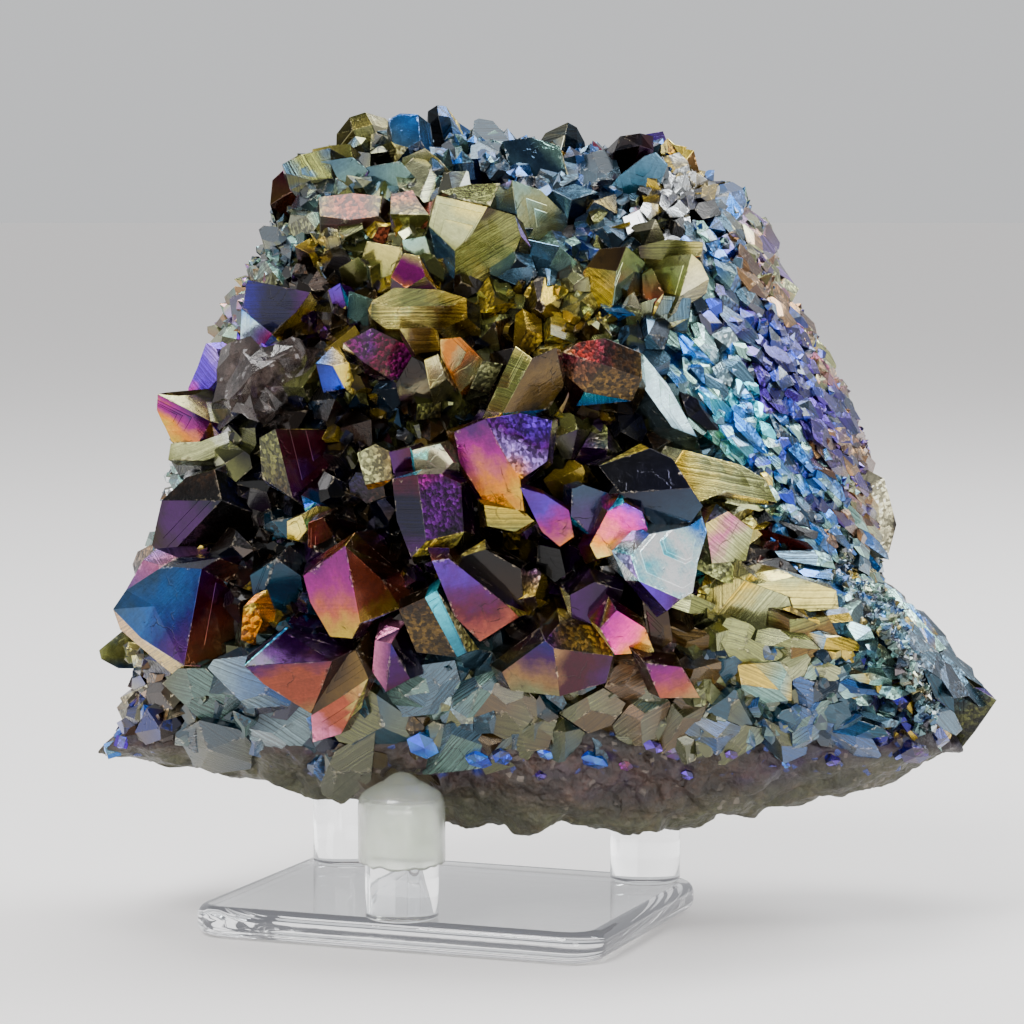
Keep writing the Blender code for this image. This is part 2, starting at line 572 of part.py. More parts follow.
# ---------------------------------------------------------------- small crystals
def add_point(place, axis, run, radius, length, squash=1.0, lean=0.0, shoulder=0.35):
    """A small six-sided crystal on `axis`, its broad side along `run`, rooted below `place`."""
    part = bmesh.new()
    across = axis.cross(run).normalized()
    along = across.cross(axis)
    sides = 6
    rings = []
    for height in (-radius, length * shoulder):
        ring = []
        for number in range(sides):
            angle = 2 * math.pi * number / sides
            corner = along * math.cos(angle) + across * math.sin(angle) * squash
            ring.append(part.verts.new(place + corner * radius + axis * height))
        rings.append(ring)
    tip = part.verts.new(place + along * radius * lean + axis * length)
    for number in range(sides):
        following = (number + 1) % sides
        part.faces.new((rings[0][number], rings[0][following], rings[1][following], rings[1][number]))
        part.faces.new((rings[1][number], rings[1][following], tip))
    part.faces.new(rings[0])
    bmesh.ops.triangulate(part, faces=part.faces)
    bmesh.ops.recalc_face_normals(part, faces=part.faces)
    grow(part)


def inside(u, v, outline):
    within = False
    for (x0, y0), (x1, y1) in zip(outline, outline[1:] + outline[:1]):
        if (y0 > v) != (y1 > v) and u < (x1 - x0) * (v - y0) / (y1 - y0) + x0:
            within = not within
    return within


def covered(u, v):
    """Whether a drawn crystal already stands at (u, v)."""
    for _, _, _, words, sheet in CRYSTALS.values():
        letters = dict(zip("abcdefghijklmn", sheet))
        for word in words.split():
            if inside(u, v, tuple(letters[letter] for letter in word)):
                return True
    return False


def random_way(draw):
    return Vector((draw.uniform(-1, 1), draw.uniform(-1, 1), draw.uniform(-1, 1)))


def add_fillers():
    """Small crystals between the drawn ones, on the front of the mound."""
    draw = random.Random(FILLER_SEED)
    taken = []
    for _ in range(FILLER_TRIES):
        u, v = draw.uniform(*FILLER_ACROSS), draw.uniform(*FILLER_DOWN)
        if len(taken) >= FILLER_COUNT or not inside(u, v, MOUND_OUTLINE) or covered(u, v):
            continue
        if on_flank(u, v) or any(math.hypot(u - x, v - y) < FILLER_SPACING for x, y in taken):
            continue
        taken.append((u, v))
        place = at(u, v, mound_depth(u, v) * MM)
        axis = (mound_normal(u, v) + random_way(draw) * 0.45).normalized()
        radius = draw.uniform(*FILLER_RADIUS) * MM
        length = draw.uniform(*FILLER_PROUD) * MM + radius
        add_point(place, axis, random_way(draw), radius, length, lean=draw.uniform(-0.5, 0.5))


# ---------------------------------------------------------------- right flank
# The ridge that parts the front from the scaly right flank, from the top down.
RIDGE = ((690, 215), (665, 330), (672, 372), (700, 440), (768, 482), (806, 548), (842, 590),
         (872, 640), (905, 700), (905, 765))


def ridge_at(v):
    for (u0, v0), (u1, v1) in zip(RIDGE, RIDGE[1:]):
        if v0 <= v <= v1:
            return u0 + (u1 - u0) * (v - v0) / (v1 - v0)
    return None


def on_flank(u, v):
    edge = ridge_at(v)
    return edge is not None and u > edge


def add_scales():
    """Rows of low overlapping ledges that run down the right flank."""
    draw = random.Random(SCALE_SEED)
    for row in range(SCALE_ROWS):
        for number in range(SCALES_IN_ROW):
            v = SCALE_TOP + number * SCALE_STEP + row * SCALE_ROW_DROP + draw.uniform(-SCALE_JITTER, SCALE_JITTER)
            if v > SCALE_FOOT:
                continue
            u = ridge_at(v) + SCALE_MARGIN + row * SCALE_ROW_STEP + draw.uniform(-SCALE_SWAY, SCALE_SWAY)
            if not inside(u, v, MOUND_OUTLINE) or covered(u, v):
                continue
            place = at(u, v, mound_depth(u, v) * MM)
            run = Vector((0.62, 0.25, -0.75)) + random_way(draw) * 0.2
            axis = (mound_normal(u, v) + Vector((-0.2, 0.0, 0.25)) + random_way(draw) * 0.2).normalized()
            radius = draw.uniform(*SCALE_RADIUS) * MM
            length = draw.uniform(*SCALE_PROUD) * MM
            add_point(place, axis, run, radius, length, squash=0.45, lean=0.4, shoulder=0.5)


def add_lumps():
    """Lumps of matrix along the foot of the front, under the stone and over its back."""
    draw = random.Random(LUMP_SEED)
    for number in range(LUMP_COUNT):
        if number % 2:
            angle = draw.uniform(*FOOT_COMPASS)
            share = draw.uniform(*FOOT_SHARE)
            roundness, far = FRONT_ROUNDNESS, MOUND_FRONT
        else:
            angle = draw.uniform(0, 360)
            share = draw.uniform(*BACK_SHARE)
            roundness, far = round_compass(BACK_ROUNDNESS, angle), MOUND_BACK
        reach = rim_reach(angle) * share
        u = MOUND_MIDDLE[0] + reach * math.cos(math.radians(angle))
        v = MOUND_MIDDLE[1] - reach * math.sin(math.radians(angle))
        rim = rim_depth(angle)
        place = at(u, v, (rim + (far - rim) * bulge(share, roundness)) * MM)
        place += (CORE - place).normalized() * LUMP_SUNK
        part = bmesh.new()
        bmesh.ops.create_icosphere(part, subdivisions=1, radius=draw.uniform(*LUMP_RADIUS) * MM)
        stretch = Vector((draw.uniform(0.8, 1.5), draw.uniform(0.7, 1.2), draw.uniform(0.6, 1.1)))
        for vert in part.verts:
            vert.co = Vector(a * b for a, b in zip(vert.co, stretch)) * draw.uniform(0.8, 1.2)
        bmesh.ops.rotate(part, verts=part.verts, matrix=Matrix.Rotation(draw.uniform(0, 3), 3, "Y"))
        bmesh.ops.translate(part, verts=part.verts, vec=place)
        grow(part)


# ---------------------------------------------------------------- the stand
def on_stand(x, y):
    return Matrix.Rotation(STAND_YAW, 3, "Z") @ Vector((x, y, 0.0))


def make_plate(finish):
    bm = bmesh.new()
    half_x, half_y = PLATE_LENGTH / 2, PLATE_WIDTH / 2
    ring = []
    for quarter, (sx, sy) in enumerate(((1, 1), (-1, 1), (-1, -1), (1, -1))):
        centre = Vector((sx * (half_x - PLATE_CORNER), sy * (half_y - PLATE_CORNER), 0.0))
        for step in range(7):
            angle = math.radians(90 * quarter + 15 * step)
            ring.append(centre + PLATE_CORNER * Vector((math.cos(angle), math.sin(angle), 0.0)))
    face = bm.faces.new([bm.verts.new(corner) for corner in ring])
    grown = bmesh.ops.extrude_face_region(bm, geom=[face], use_keep_orig=True)
    top = [item for item in grown["geom"] if isinstance(item, bmesh.types.BMVert)]
    bmesh.ops.translate(bm, verts=top, vec=(0.0, 0.0, PLATE_THICKNESS))
    rims = [edge for edge in bm.edges if abs(edge.verts[0].co.z - edge.verts[1].co.z) < MM / 10]
    bmesh.ops.bevel(bm, geom=rims, offset=PLATE_EDGE, segments=4, profile=0.5, affect="EDGES")
    bmesh.ops.rotate(bm, verts=bm.verts, matrix=Matrix.Rotation(STAND_YAW, 3, "Z"))
    bmesh.ops.recalc_face_normals(bm, faces=bm.faces)
    return add_object("stand_base", bm, finish, smooth=True)


def lathe(profile, sides, place):
    """Turns a closed outline of (radius, height) points round the Z axis."""
    bm = bmesh.new()
    rings = []
    for radius, height in profile:
        count = 1 if radius == 0 else sides
        rings.append([bm.verts.new(place + Vector((radius * math.cos(2 * math.pi * k / count),
                                                    radius * math.sin(2 * math.pi * k / count),
                                                    height))) for k in range(count)])
    for lower, upper in zip(rings, rings[1:]):
        if len(lower) == 1 and len(upper) == 1:
            continue
        for k in range(sides):
            k2 = (k + 1) % sides
            corners = [lower[k % len(lower)], lower[k2 % len(lower)],
                       upper[k2 % len(upper)], upper[k % len(upper)]]
            bm.faces.new(list(dict.fromkeys(corners)))
    bmesh.ops.recalc_face_normals(bm, faces=bm.faces)
    return bm


def peg_profile(radius, bottom, top, edge=0.35 * MM):
    return ((0, bottom), (radius, bottom), (radius, top - edge), (radius - edge, top), (0, top))


def cap_profile(inner, outer):
    """The cap from the top of its bore, down the bore, round the rim and up to its tip."""
    bore_top = PEG_TOP + GAP
    return ((0, bore_top), (inner, bore_top), (inner, CAP_RIM), (outer, CAP_RIM),
            (outer, CAP_SHOULDER - 1.2 * MM), (outer * 0.97, CAP_SHOULDER),
            (outer * 0.82, CAP_SHOULDER + 1.0 * MM), (outer * 0.6, CAP_LEDGE - 0.3 * MM),
            (outer * 0.45, CAP_LEDGE), (outer * 0.3, CAP_LEDGE + 0.15 * MM),
            (outer * 0.2, CAP_TIP - 0.5 * MM), (outer * 0.08, CAP_TIP - 0.1 * MM), (0, CAP_TIP))


def make_stand():
    clear = material("clear_acrylic", (0.9, 0.95, 0.95), 0.0, 0.05, 1.0)
    milky = material("milky_vinyl", (0.85, 0.86, 0.72), 0.0, 0.4, 0.4)
    make_plate(clear)
    for name, (x, y) in PEG_PLACES.items():
        place = on_stand(x, y)
        profile = peg_profile(PEG_RADIUS, PLATE_THICKNESS + GAP, PEG_TOP)
        add_object("stand_peg_" + name, lathe(profile, PEG_SIDES, place), clear, smooth=True)
    place = on_stand(*PEG_PLACES["front"])
    profile = cap_profile(PEG_RADIUS + GAP, CAP_RADIUS)
    add_object("front_peg_cap", lathe(profile, PEG_SIDES, place), milky, smooth=True)


def seat_cutters():
    """What the stone keeps clear of: the rods' tops and the cap's dome."""
    for name, (x, y) in PEG_PLACES.items():
        place = on_stand(x, y)
        if name == "front":
            profile = ((0, 0), (CAP_RADIUS + 2 * GAP, 0), (CAP_RADIUS + 2 * GAP, CAP_SHOULDER),
                       (CAP_RADIUS * 0.8 + 2 * GAP, CAP_SHOULDER + 1.6 * MM),
                       (CAP_RADIUS * 0.45 + 2 * GAP, CAP_LEDGE + 0.6 * MM), (0.5 * MM, CAP_TIP + GAP),
                       (0, CAP_TIP + GAP))
        else:
            radius = PEG_RADIUS + SEAT_CLEARANCE
            profile = ((0, 0), (radius, 0), (radius, PEG_TOP + GAP), (0, PEG_TOP + GAP))
        yield make_guide(add_object("seat_" + name, lathe(profile, 24, place)))


# ---------------------------------------------------------------- the cluster
def settle(made, finish):
    """Applies the modifiers, thinned just enough that every edge has its two faces."""
    thinned = made.modifiers.new("thinned", "DECIMATE")
    for share in THINNED_SHARES:
        thinned.ratio = share
        graph = bpy.context.evaluated_depsgraph_get()
        mesh = bpy.data.meshes.new_from_object(made.evaluated_get(graph))
        bm = bmesh.new()
        bm.from_mesh(mesh)
        bmesh.ops.remove_doubles(bm, verts=bm.verts, dist=WELD)
        bmesh.ops.triangulate(bm, faces=bm.faces)
        keep_largest(bm)
        if all(len(edge.link_faces) == 2 for edge in bm.edges):
            break
    made.modifiers.clear()
    bm.to_mesh(made.data)
    bm.free()
    made.data.materials.clear()
    made.data.materials.append(finish)


def keep_largest(bm):
    unseen = set(bm.verts)
    shells = []
    while unseen:
        stack = [unseen.pop()]
        shell = set(stack)
        while stack:
            for edge in stack.pop().link_edges:
                for vert in edge.verts:
                    if vert not in shell:
                        shell.add(vert)
                        unseen.discard(vert)
                        stack.append(vert)
        shells.append(shell)
    largest = max(shells, key=len)
    loose = [vert for shell in shells if shell is not largest for vert in shell]
    bmesh.ops.delete(bm, geom=loose, context="VERTS")


def make_cluster():
    finish = material("aura_quartz", (0.35, 0.36, 0.42), 0.7, 0.25)
    cluster = add_object("crystal_cluster", make_mound(), finish)
    growth = bpy.data.collections.new(GROWTH)
    bpy.context.scene.collection.children.link(growth)
    for row in CRYSTALS.values():
        add_crystal(row)
    add_fillers()
    add_scales()
    add_lumps()
    union = cluster.modifiers.new("growth", "BOOLEAN")
    union.operation = "UNION"
    union.operand_type = "COLLECTION"
    union.collection = growth
    union.solver = "MANIFOLD"
    for cutter in list(seat_cutters()):
        cut = cluster.modifiers.new("seat", "BOOLEAN")
        cut.operation = "DIFFERENCE"
        cut.solver = "MANIFOLD"
        cut.object = cutter
    settle(cluster, finish)


for old in list(bpy.data.objects):
    bpy.data.objects.remove(old)
# The rock's noise is drawn anew in each run unless it is given a seed.
noise.seed_set(ROCK_SEED)
make_cluster()
make_stand()
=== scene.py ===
import json
import math
import random

import bmesh
import bpy
from mathutils import Matrix, Vector, geometry, noise

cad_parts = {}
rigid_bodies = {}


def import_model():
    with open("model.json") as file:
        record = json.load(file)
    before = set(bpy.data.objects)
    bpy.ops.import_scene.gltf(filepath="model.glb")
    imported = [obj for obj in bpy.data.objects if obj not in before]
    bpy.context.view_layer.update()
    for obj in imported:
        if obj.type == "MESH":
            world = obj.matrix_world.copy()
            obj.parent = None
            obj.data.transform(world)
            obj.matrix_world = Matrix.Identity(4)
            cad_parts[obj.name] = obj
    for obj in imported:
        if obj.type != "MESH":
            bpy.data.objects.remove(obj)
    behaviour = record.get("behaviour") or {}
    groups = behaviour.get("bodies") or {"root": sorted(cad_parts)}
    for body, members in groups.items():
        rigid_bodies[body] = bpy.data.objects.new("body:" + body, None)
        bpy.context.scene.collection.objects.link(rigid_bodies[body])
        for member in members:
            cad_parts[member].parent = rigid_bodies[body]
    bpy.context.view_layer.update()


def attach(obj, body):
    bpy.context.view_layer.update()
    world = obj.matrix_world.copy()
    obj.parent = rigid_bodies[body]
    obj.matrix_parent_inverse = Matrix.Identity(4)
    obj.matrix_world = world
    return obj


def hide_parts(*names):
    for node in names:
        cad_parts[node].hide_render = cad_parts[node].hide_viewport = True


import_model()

MM = 0.001
GAP = 0.3 * MM

# ---------------------------------------------------------------- stand
PLATE_THICKNESS = 4.0 * MM
STAND_YAW = math.radians(-20.88)
PEG_RADIUS = 9.53 / 2 * MM
PEG_TOP = 19.4 * MM
PEG_PLACES = {
    "front": (1.05 * MM, -19.1 * MM),
    "rear_right": (21.8 * MM, 17.27 * MM),
    "rear_left": (-21.45 * MM, 15.27 * MM),
}
CAP_RADIUS = 5.65 * MM
CAP_RIM = 11.2 * MM
CAP_SHOULDER = 19.6 * MM
CAP_LEDGE = 21.7 * MM
CAP_TIP = 23.0 * MM
RAGGED_RIM = 1.0 * MM
PLATE_LENGTH = 57.15 * MM
PLATE_WIDTH = 44.45 * MM
PLATE_CORNER = 5.0 * MM
PLATE_EDGE = 1.6 * MM
SEAT_CLEARANCE = 0.6 * MM
JOINT_GAP = 0.02 * MM
FLOOR = -0.15 * MM
FLAT_LIP = 0.1 * MM

# ---------------------------------------------------------------- elevation
# Faces are drawn on a perspective elevation, 1024 units square, as in the solid part.
SHEET_SIZE = 1024
SHEET_MIDDLE = 512.0
SHEET_LENS = 3848.0
EYE_DISTANCE = 511.3 * MM
EYE_TILT = math.radians(5.19)
EYE_AIM = Vector((8.4, 0.0, 55.0)) * MM
UNITS_PER_MM = 7.53
BACKWARD = Vector((0.0, -math.cos(EYE_TILT), math.sin(EYE_TILT)))
UPWARD = Vector((0.0, math.sin(EYE_TILT), math.cos(EYE_TILT)))
EYE = EYE_AIM + BACKWARD * EYE_DISTANCE
SENSOR = 36.0

# ---------------------------------------------------------------- mound
MOUND_OUTLINE = (
    (276, 215), (292, 168), (340, 146), (400, 128), (470, 132), (540, 144), (600, 152),
    (660, 144), (692, 166), (738, 190), (768, 228), (784, 276), (812, 336), (846, 390),
    (866, 440), (880, 520), (880, 578), (916, 606), (952, 648), (984, 696), (958, 742),
    (905, 768), (830, 792), (740, 820), (645, 836), (560, 828), (470, 818), (400, 814),
    (345, 800), (262, 772), (170, 760), (108, 752), (136, 690), (126, 630), (146, 570),
    (164, 500), (176, 440), (196, 390), (214, 336), (240, 282), (262, 248),
)
MOUND_MIDDLE = (520, 490)
MOUND_FRONT = -24.0
MOUND_BACK = 35.0
FRONT_ROUNDNESS = 2.3
BACK_ROUNDNESS = ((0, 2.6), (235, 2.6), (258, 2.45), (288, 1.65), (320, 2.0), (345, 2.6), (360, 2.6))
RIM_DEPTHS = (
    (0, 20.0), (40, 22.0), (75, 13.0), (105, 12.0), (140, 7.0), (180, 10.0), (215, 4.0),
    (240, -4.0), (270, -11.0), (300, -10.0), (325, -3.0), (345, 12.0), (360, 20.0),
)
RIM_BAND = 0.07
ROCK_COARSE = 2.4 * MM
ROCK_COARSE_SCALE = 90
ROCK_FINE = 1.3 * MM
ROCK_FINE_SCALE = 300
ROCK_SEED = 5
CORE = Vector((10.0, 12.0, 56.0)) * MM
ROOT_LENGTH = 13.0 * MM

# ---------------------------------------------------------------- film colours
# The metal film's colours, as display values from 0 to 255.
RICHNESS = 1.2
DEPTH = 1.3
FILM = {
    "black": (14, 12, 18), "umber": (62, 45, 29), "bronze": (116, 97, 62),
    "olive": (138, 141, 98), "khaki": (184, 187, 150), "straw": (224, 214, 152),
    "gold": (204, 183, 108), "orange": (220, 154, 84), "coral": (190, 118, 98),
    "rust": (150, 62, 52), "pink": (232, 92, 168), "rose": (236, 160, 190),
    "magenta": (164, 46, 142), "maroon": (98, 26, 58), "plum": (92, 34, 112),
    "violet": (112, 72, 196), "lilac": (176, 150, 214), "indigo": (46, 38, 128),
    "navy": (20, 24, 62), "blue": (50, 84, 196), "azure": (86, 152, 224),
    "cyan": (132, 222, 236), "teal": (46, 104, 124), "slate": (70, 92, 112),
    "steel": (118, 148, 166), "mint": (178, 212, 202), "ice": (214, 238, 244),
    "white": (246, 249, 250), "cream": (228, 224, 196), "tan": (196, 162, 124),
    "brown": (120, 90, 70), "grey": (150, 148, 142),
}
# Bright films for some skirt slivers: painted glints along the crystals' edges.
PAINTED_GLINT_FILMS = ("gold:1 straw:1", "straw:1 cream:1", "cyan:.8 azure:.7", "orange:1 gold:1", "lilac:.8 steel:.7")
# name: (tips proud of the mound in mm, fall of the faces, tips, faces as words of corner
# letters, corners a, b, c ... on the elevation, and the finish of each face: film colours with
# their shade, the compass way they run, and s or t for growth lines across or along it, r for rough).
# The shades are painted light: low ones paint dark reflections, the highest paint highlights brighter than
# the film; the hues are the film's own.
CRYSTALS = {
    "brown_shoulder": (1.5, 0.7, "g", "gabc gcde gefa", (
        (270, 205), (272, 180), (283, 170), (310, 178), (308, 195), (290, 225), (291, 192)), (
        "bronze:.7 maroon:.6 @60",
        "maroon:.7 magenta:.5 @90",
        "umber:.9 coral:.4 @0",)),
    "shoulder_slab": (0.5, 0.5, "d", "abcdef", (
        (282, 164), (298, 155), (330, 148), (332, 178), (310, 180), (286, 173)), (
        "steel:.4 olive:.6 slate:.6 @30 s",)),
    "dark_bead": (1.5, 0.8, "f", "fabc fcd fdea", (
        (295, 246), (310, 238), (322, 250), (318, 272), (299, 271), (308, 253)), (
        "bronze:.8 gold:.7 @90",
        "gold:.6",
        "umber:.9",)),
    "olive_peak": (1.5, 0.8, "ag", "afedg agdcb", (
        (365, 112), (385, 118), (391, 139), (362, 152), (337, 134), (350, 117), (365, 134)), (
        "olive:.9 straw:.9 @60",
        "straw:1 cream:.9 @90",)),
    "khaki_cheek": (0.5, 0.4, "d", "abcde", (
        (312, 149), (331, 145), (350, 144), (352, 158), (322, 162)), (
        "straw:.8 olive:.9 @0",)),
    "sky_blade": (1.0, 0.5, "d", "abcdef", (
        (388, 119), (400, 113), (418, 114), (420, 140), (408, 147), (393, 143)), (
        "azure:.6 steel:.6 @250",)),
    "gold_step": (0.5, 0.5, "b", "abcde", (
        (362, 153), (391, 141), (404, 151), (398, 163), (364, 166)), (
        "steel:.6 straw:.8 @90",)),
    "slate_peak": (2.0, 0.9, "ai", "ahgfi aifedcb", (
        (437, 105), (446, 106), (458, 122), (470, 130), (465, 150), (440, 160), (424, 142), (428, 111),
        (439, 130)), (
        "slate:.6 steel:.6 @270",
        "slate:.5 azure:.7 steel:.9 @320",)),
    "ice_blade": (1.5, 0.6, "a", "abcde", (
        (471, 130), (491, 123), (504, 140), (492, 157), (470, 151)), (
        "white:1 cyan:.9 @280",)),
    "left_steel_step": (1.5, 0.5, "c", "abcdef", (
        (318, 162), (352, 157), (368, 170), (353, 192), (320, 194), (310, 179)), (
        "steel:.5 mint:.4 @300",)),
    "middle_steel_step": (1.5, 0.5, "c", "abcde", (
        (366, 167), (400, 161), (411, 173), (392, 194), (356, 191)), (
        "steel:.45 mint:.45 @0",)),
    "pale_gold_step": (2.0, 0.6, "c", "abcdef", (
        (402, 158), (425, 148), (440, 160), (434, 187), (413, 190), (400, 175)), (
        "cream:.6 straw:.6 khaki:.5 @280",)),
    "salmon_step": (2.0, 0.5, "de", "abcdef", (
        (318, 197), (352, 193), (382, 196), (379, 216), (350, 220), (320, 216)), (
        "olive:.5 coral:.25 olive:.4 @180 r",)),
    "coral_block": (2.0, 0.9, "dg", "gabcd gdef", (
        (391, 194), (412, 190), (420, 203), (429, 215), (425, 236), (401, 238), (390, 214)), (
        "coral:.35 olive:.5 @270 r",
        "olive:.9 bronze:.8 @270",)),
    "slate_foot": (1.0, 0.5, "a", "abcdef", (
        (446, 160), (480, 158), (505, 164), (500, 187), (470, 190), (441, 190)), (
        "slate:.6 blue:.4 @200",)),
    "crown": (6.0, 0.75, "bm", "abmlk bcdenilm klij infgh", (
        (437, 195), (487, 207), (515, 215), (521, 236), (511, 262), (513, 285), (490, 299), (475, 297),
        (455, 291), (437, 265), (429, 225), (455, 251), (471, 235), (504, 276)), (
        "straw:1.1 khaki:1.1 olive:1.1 @240",
        "umber:1.2 olive:1.2 straw:1.1 @300 s",
        "slate:1.1 steel:1.2 @270",
        "white:1 straw:1 @180",)),
    "crown_collar": (2.5, 0.4, "d", "abcde", (
        (440, 191), (470, 184), (500, 183), (490, 206), (462, 200)), (
        "khaki:.5 olive:.5 @0",)),
    "east_peak": (3.5, 0.8, "ad", "abcd adhgfe", (
        (512, 180), (499, 185), (489, 207), (517, 214), (541, 190), (579, 228), (562, 245), (523, 236)), (
        "khaki:.6 steel:.9 @270",
        "mint:.8 khaki:.7 steel:.9 @320",)),
    "east_block": (3.0, 0.6, "b", "abfge bcdf", (
        (521, 238), (560, 246), (577, 262), (556, 287), (510, 262), (541, 282), (514, 281)), (
        "steel:.9 slate:.9 @0",
        "mint:.6 steel:.5 @270",)),
    "steel_brow": (1.5, 0.5, "d", "abcdef", (
        (503, 141), (530, 137), (560, 146), (566, 172), (540, 179), (508, 166)), (
        "steel:.5 slate:.7 mint:.4 @40",)),
    "pale_peak": (1.5, 0.8, "ae", "afe aedcb", (
        (568, 122), (577, 127), (585, 142), (581, 162), (561, 150), (545, 133)), (
        "cream:.8 steel:.8 @200",
        "steel:.6 slate:.5 @300",)),
    "small_steel": (1.0, 0.5, "b", "abcd", (
        (566, 168), (586, 158), (600, 170), (578, 184)), (
        "mint:.8 steel:.7 @270",)),
    "maroon_mass": (2.5, 0.8, "bi", "bifgha bcdefi", (
        (609, 147), (620, 136), (640, 133), (653, 136), (645, 155), (620, 177), (600, 172), (597, 152),
        (618, 156)), (
        "umber:.8 maroon:.5 @0",
        "plum:.45 maroon:.5 slate:.5 @270",)),
    "teal_blade": (3.0, 0.5, "a", "abcdefg", (
        (618, 177), (645, 156), (656, 152), (668, 164), (658, 190), (640, 207), (622, 200)), (
        "steel:.95 teal:.9 @260",)),
    "violet_chip": (1.0, 0.5, "c", "abcd", (
        (646, 134), (663, 131), (670, 150), (650, 153)), (
        "violet:.5 lilac:.5 @0",)),
    "tan_block": (0.8, 0.6, "f", "fabc fcd fdea", (
        (667, 138), (677, 147), (694, 150), (701, 180), (672, 183), (684, 163)), (
        "straw:.9 gold:.8 @0",
        "tan:.6 bronze:.8 @270",
        "olive:.7 tan:.7 @200",)),
    "blue_block": (2.5, 0.7, "f", "fabc fcde fea", (
        (552, 190), (575, 184), (598, 192), (595, 216), (568, 219), (572, 200)), (
        "steel:.6 slate:.6 @180",
        "slate:.4 navy:.9 @300",
        "steel:.8",)),
    "slate_block": (2.0, 0.5, "b", "abcde", (
        (600, 180), (617, 179), (639, 203), (630, 213), (604, 208)), (
        "slate:.5 navy:.9 @270",)),
    "ember_chip": (2.0, 0.7, "a", "abcd", (
        (611, 227), (630, 221), (635, 241), (617, 249)), (
        "gold:.7 olive:.7 @230",)),
    "straw_block": (2.5, 0.7, "f", "fabc fcdea", (
        (634, 224), (655, 219), (665, 238), (646, 249), (632, 241), (647, 234)), (
        "cream:.8 khaki:.8 @0",
        "straw:.9 olive:.8 @250",)),
    "olive_bar": (3.0, 0.5, "ab", "abcdef", (
        (639, 246), (668, 239), (703, 242), (701, 256), (665, 260), (640, 258)), (
        "umber:.7 olive:.6 straw:.7 @0 t",)),
    "olive_fork": (4.5, 0.8, "j", "iabj jbcde ijefgh", (
        (600, 249), (626, 246), (646, 263), (628, 290), (612, 305), (600, 323), (579, 313), (582, 286),
        (587, 267), (617, 271)), (
        "umber:.8 bronze:.7 @180",
        "khaki:.6 mint:.4 @300",
        "olive:.9 gold:.8 bronze:.7 @230 s",)),
    "khaki_roof": (4.0, 0.8, "ce", "abcef cdge", (
        (650, 266), (668, 256), (692, 254), (701, 262), (680, 296), (663, 293), (709, 279)), (
        "bronze:.9 olive:1 khaki:.9 @40",
        "straw:1 cream:.95 @300",)),
    "rose_block": (3.0, 0.6, "c", "abcde", (
        (642, 274), (652, 268), (664, 293), (655, 303), (643, 298)), (
        "coral:.35 olive:.6 @90",)),
    "grey_shelf": (3.0, 0.5, "b", "abcdef", (
        (640, 303), (664, 296), (691, 298), (689, 318), (660, 325), (641, 320)), (
        "khaki:.55 steel:.5 @0 s",)),
    "pale_spike": (4.0, 0.8, "a", "abe bcde", (
        (634, 291), (642, 310), (639, 332), (627, 330), (626, 306)), (
        "cream:.95",
        "khaki:.8 olive:.8 @270",)),
    "navy_prism": (3.5, 0.8, "gb", "abgeh bcdeg heji", (
        (249, 279), (311, 292), (319, 308), (300, 342), (272, 334), (244, 306), (296, 312), (242, 308),
        (240, 344), (262, 347)), (
        "plum:.55 navy:.9 indigo:.7 @180 t",
        "straw:1 gold:.9 bronze:.8 @240 t",
        "azure:.8 ice:.8 lilac:1 pink:.8 @320",)),
    "lilac_blade": (1.0, 0.5, "de", "abcdefg", (
        (188, 388), (197, 368), (206, 343), (216, 349), (223, 372), (206, 392), (187, 399)), (
        "lilac:.9 violet:.8 pink:.7 @220 s",)),
    "smoky_chunk": (4.0, 0.7, "jk", "abji bckj cdek efk kfgj jghi", (
        (217, 350), (260, 344), (300, 342), (321, 352), (317, 368), (281, 401), (262, 426), (238, 419),
        (213, 405), (250, 377), (291, 362)), (
        "glass",)),
    "left_point": (2.5, 0.7, "ad", "abcd adefg", (
        (157, 394), (189, 391), (206, 402), (211, 421), (199, 442), (172, 442), (157, 410)), (
        "khaki:.6 bronze:.9 @320",
        "plum:.7 magenta:.7 orange:.8 gold:.9 @235",)),
    "cream_ledge": (1.5, 0.5, "bc", "abcdef", (
        (171, 443), (200, 442), (228, 431), (231, 452), (205, 461), (168, 460)), (
        "white:.9 khaki:.9 olive:.7 @200 t",)),
    "dark_wing": (4.0, 0.8, "j", "jabc jcde jefgh jhia", (
        (162, 500), (185, 478), (215, 469), (243, 480), (263, 515), (273, 541), (205, 554), (165, 560),
        (152, 545), (221, 501)), (
        "black:1 umber:.7 @90 r",
        "black:.8 navy:.6 umber:.8 @0 r",
        "black:.8 umber:.5 @270 r",
        "navy:.5 plum:.45 umber:.6 @200",)),
    "maroon_roof": (5.0, 0.7, "be", "abef bcde", (
        (259, 438), (275, 429), (331, 430), (348, 450), (292, 498), (262, 478)), (
        "olive:.6 umber:.8 @270 r",
        "umber:.8 maroon:.6 plum:.6 @250",)),
    "yellow_chip": (4.0, 0.6, "b", "abcde", (
        (287, 521), (301, 515), (307, 530), (298, 541), (287, 539)), (
        "straw:1 gold:1 @250",)),
    "teal_chip": (4.0, 0.6, "a", "abc", (
        (301, 495), (320, 505), (308, 523)), (
        "teal:.9 azure:.7 rose:.7 @320",)),
    "rosewood_chip": (4.0, 0.6, "a", "abcde", (
        (308, 523), (323, 517), (333, 535), (323, 551), (308, 547)), (
        "coral:.35 bronze:.7 @0",)),
    "olive_table": (4.0, 0.6, "b", "abcde", (
        (367, 241), (402, 248), (390, 276), (374, 280), (361, 260)), (
        "olive:.95 straw:.8 @60",)),
    "sunset_chip": (4.0, 0.6, "e", "abcde", (
        (391, 277), (404, 253), (419, 256), (425, 276), (406, 288)), (
        "orange:1 magenta:.6 straw:.9 @70",)),
    "mint_chip": (4.0, 0.6, "a", "abcde", (
        (402, 240), (425, 236), (431, 255), (419, 263), (405, 252)), (
        "mint:.9 khaki:.8 @300",)),
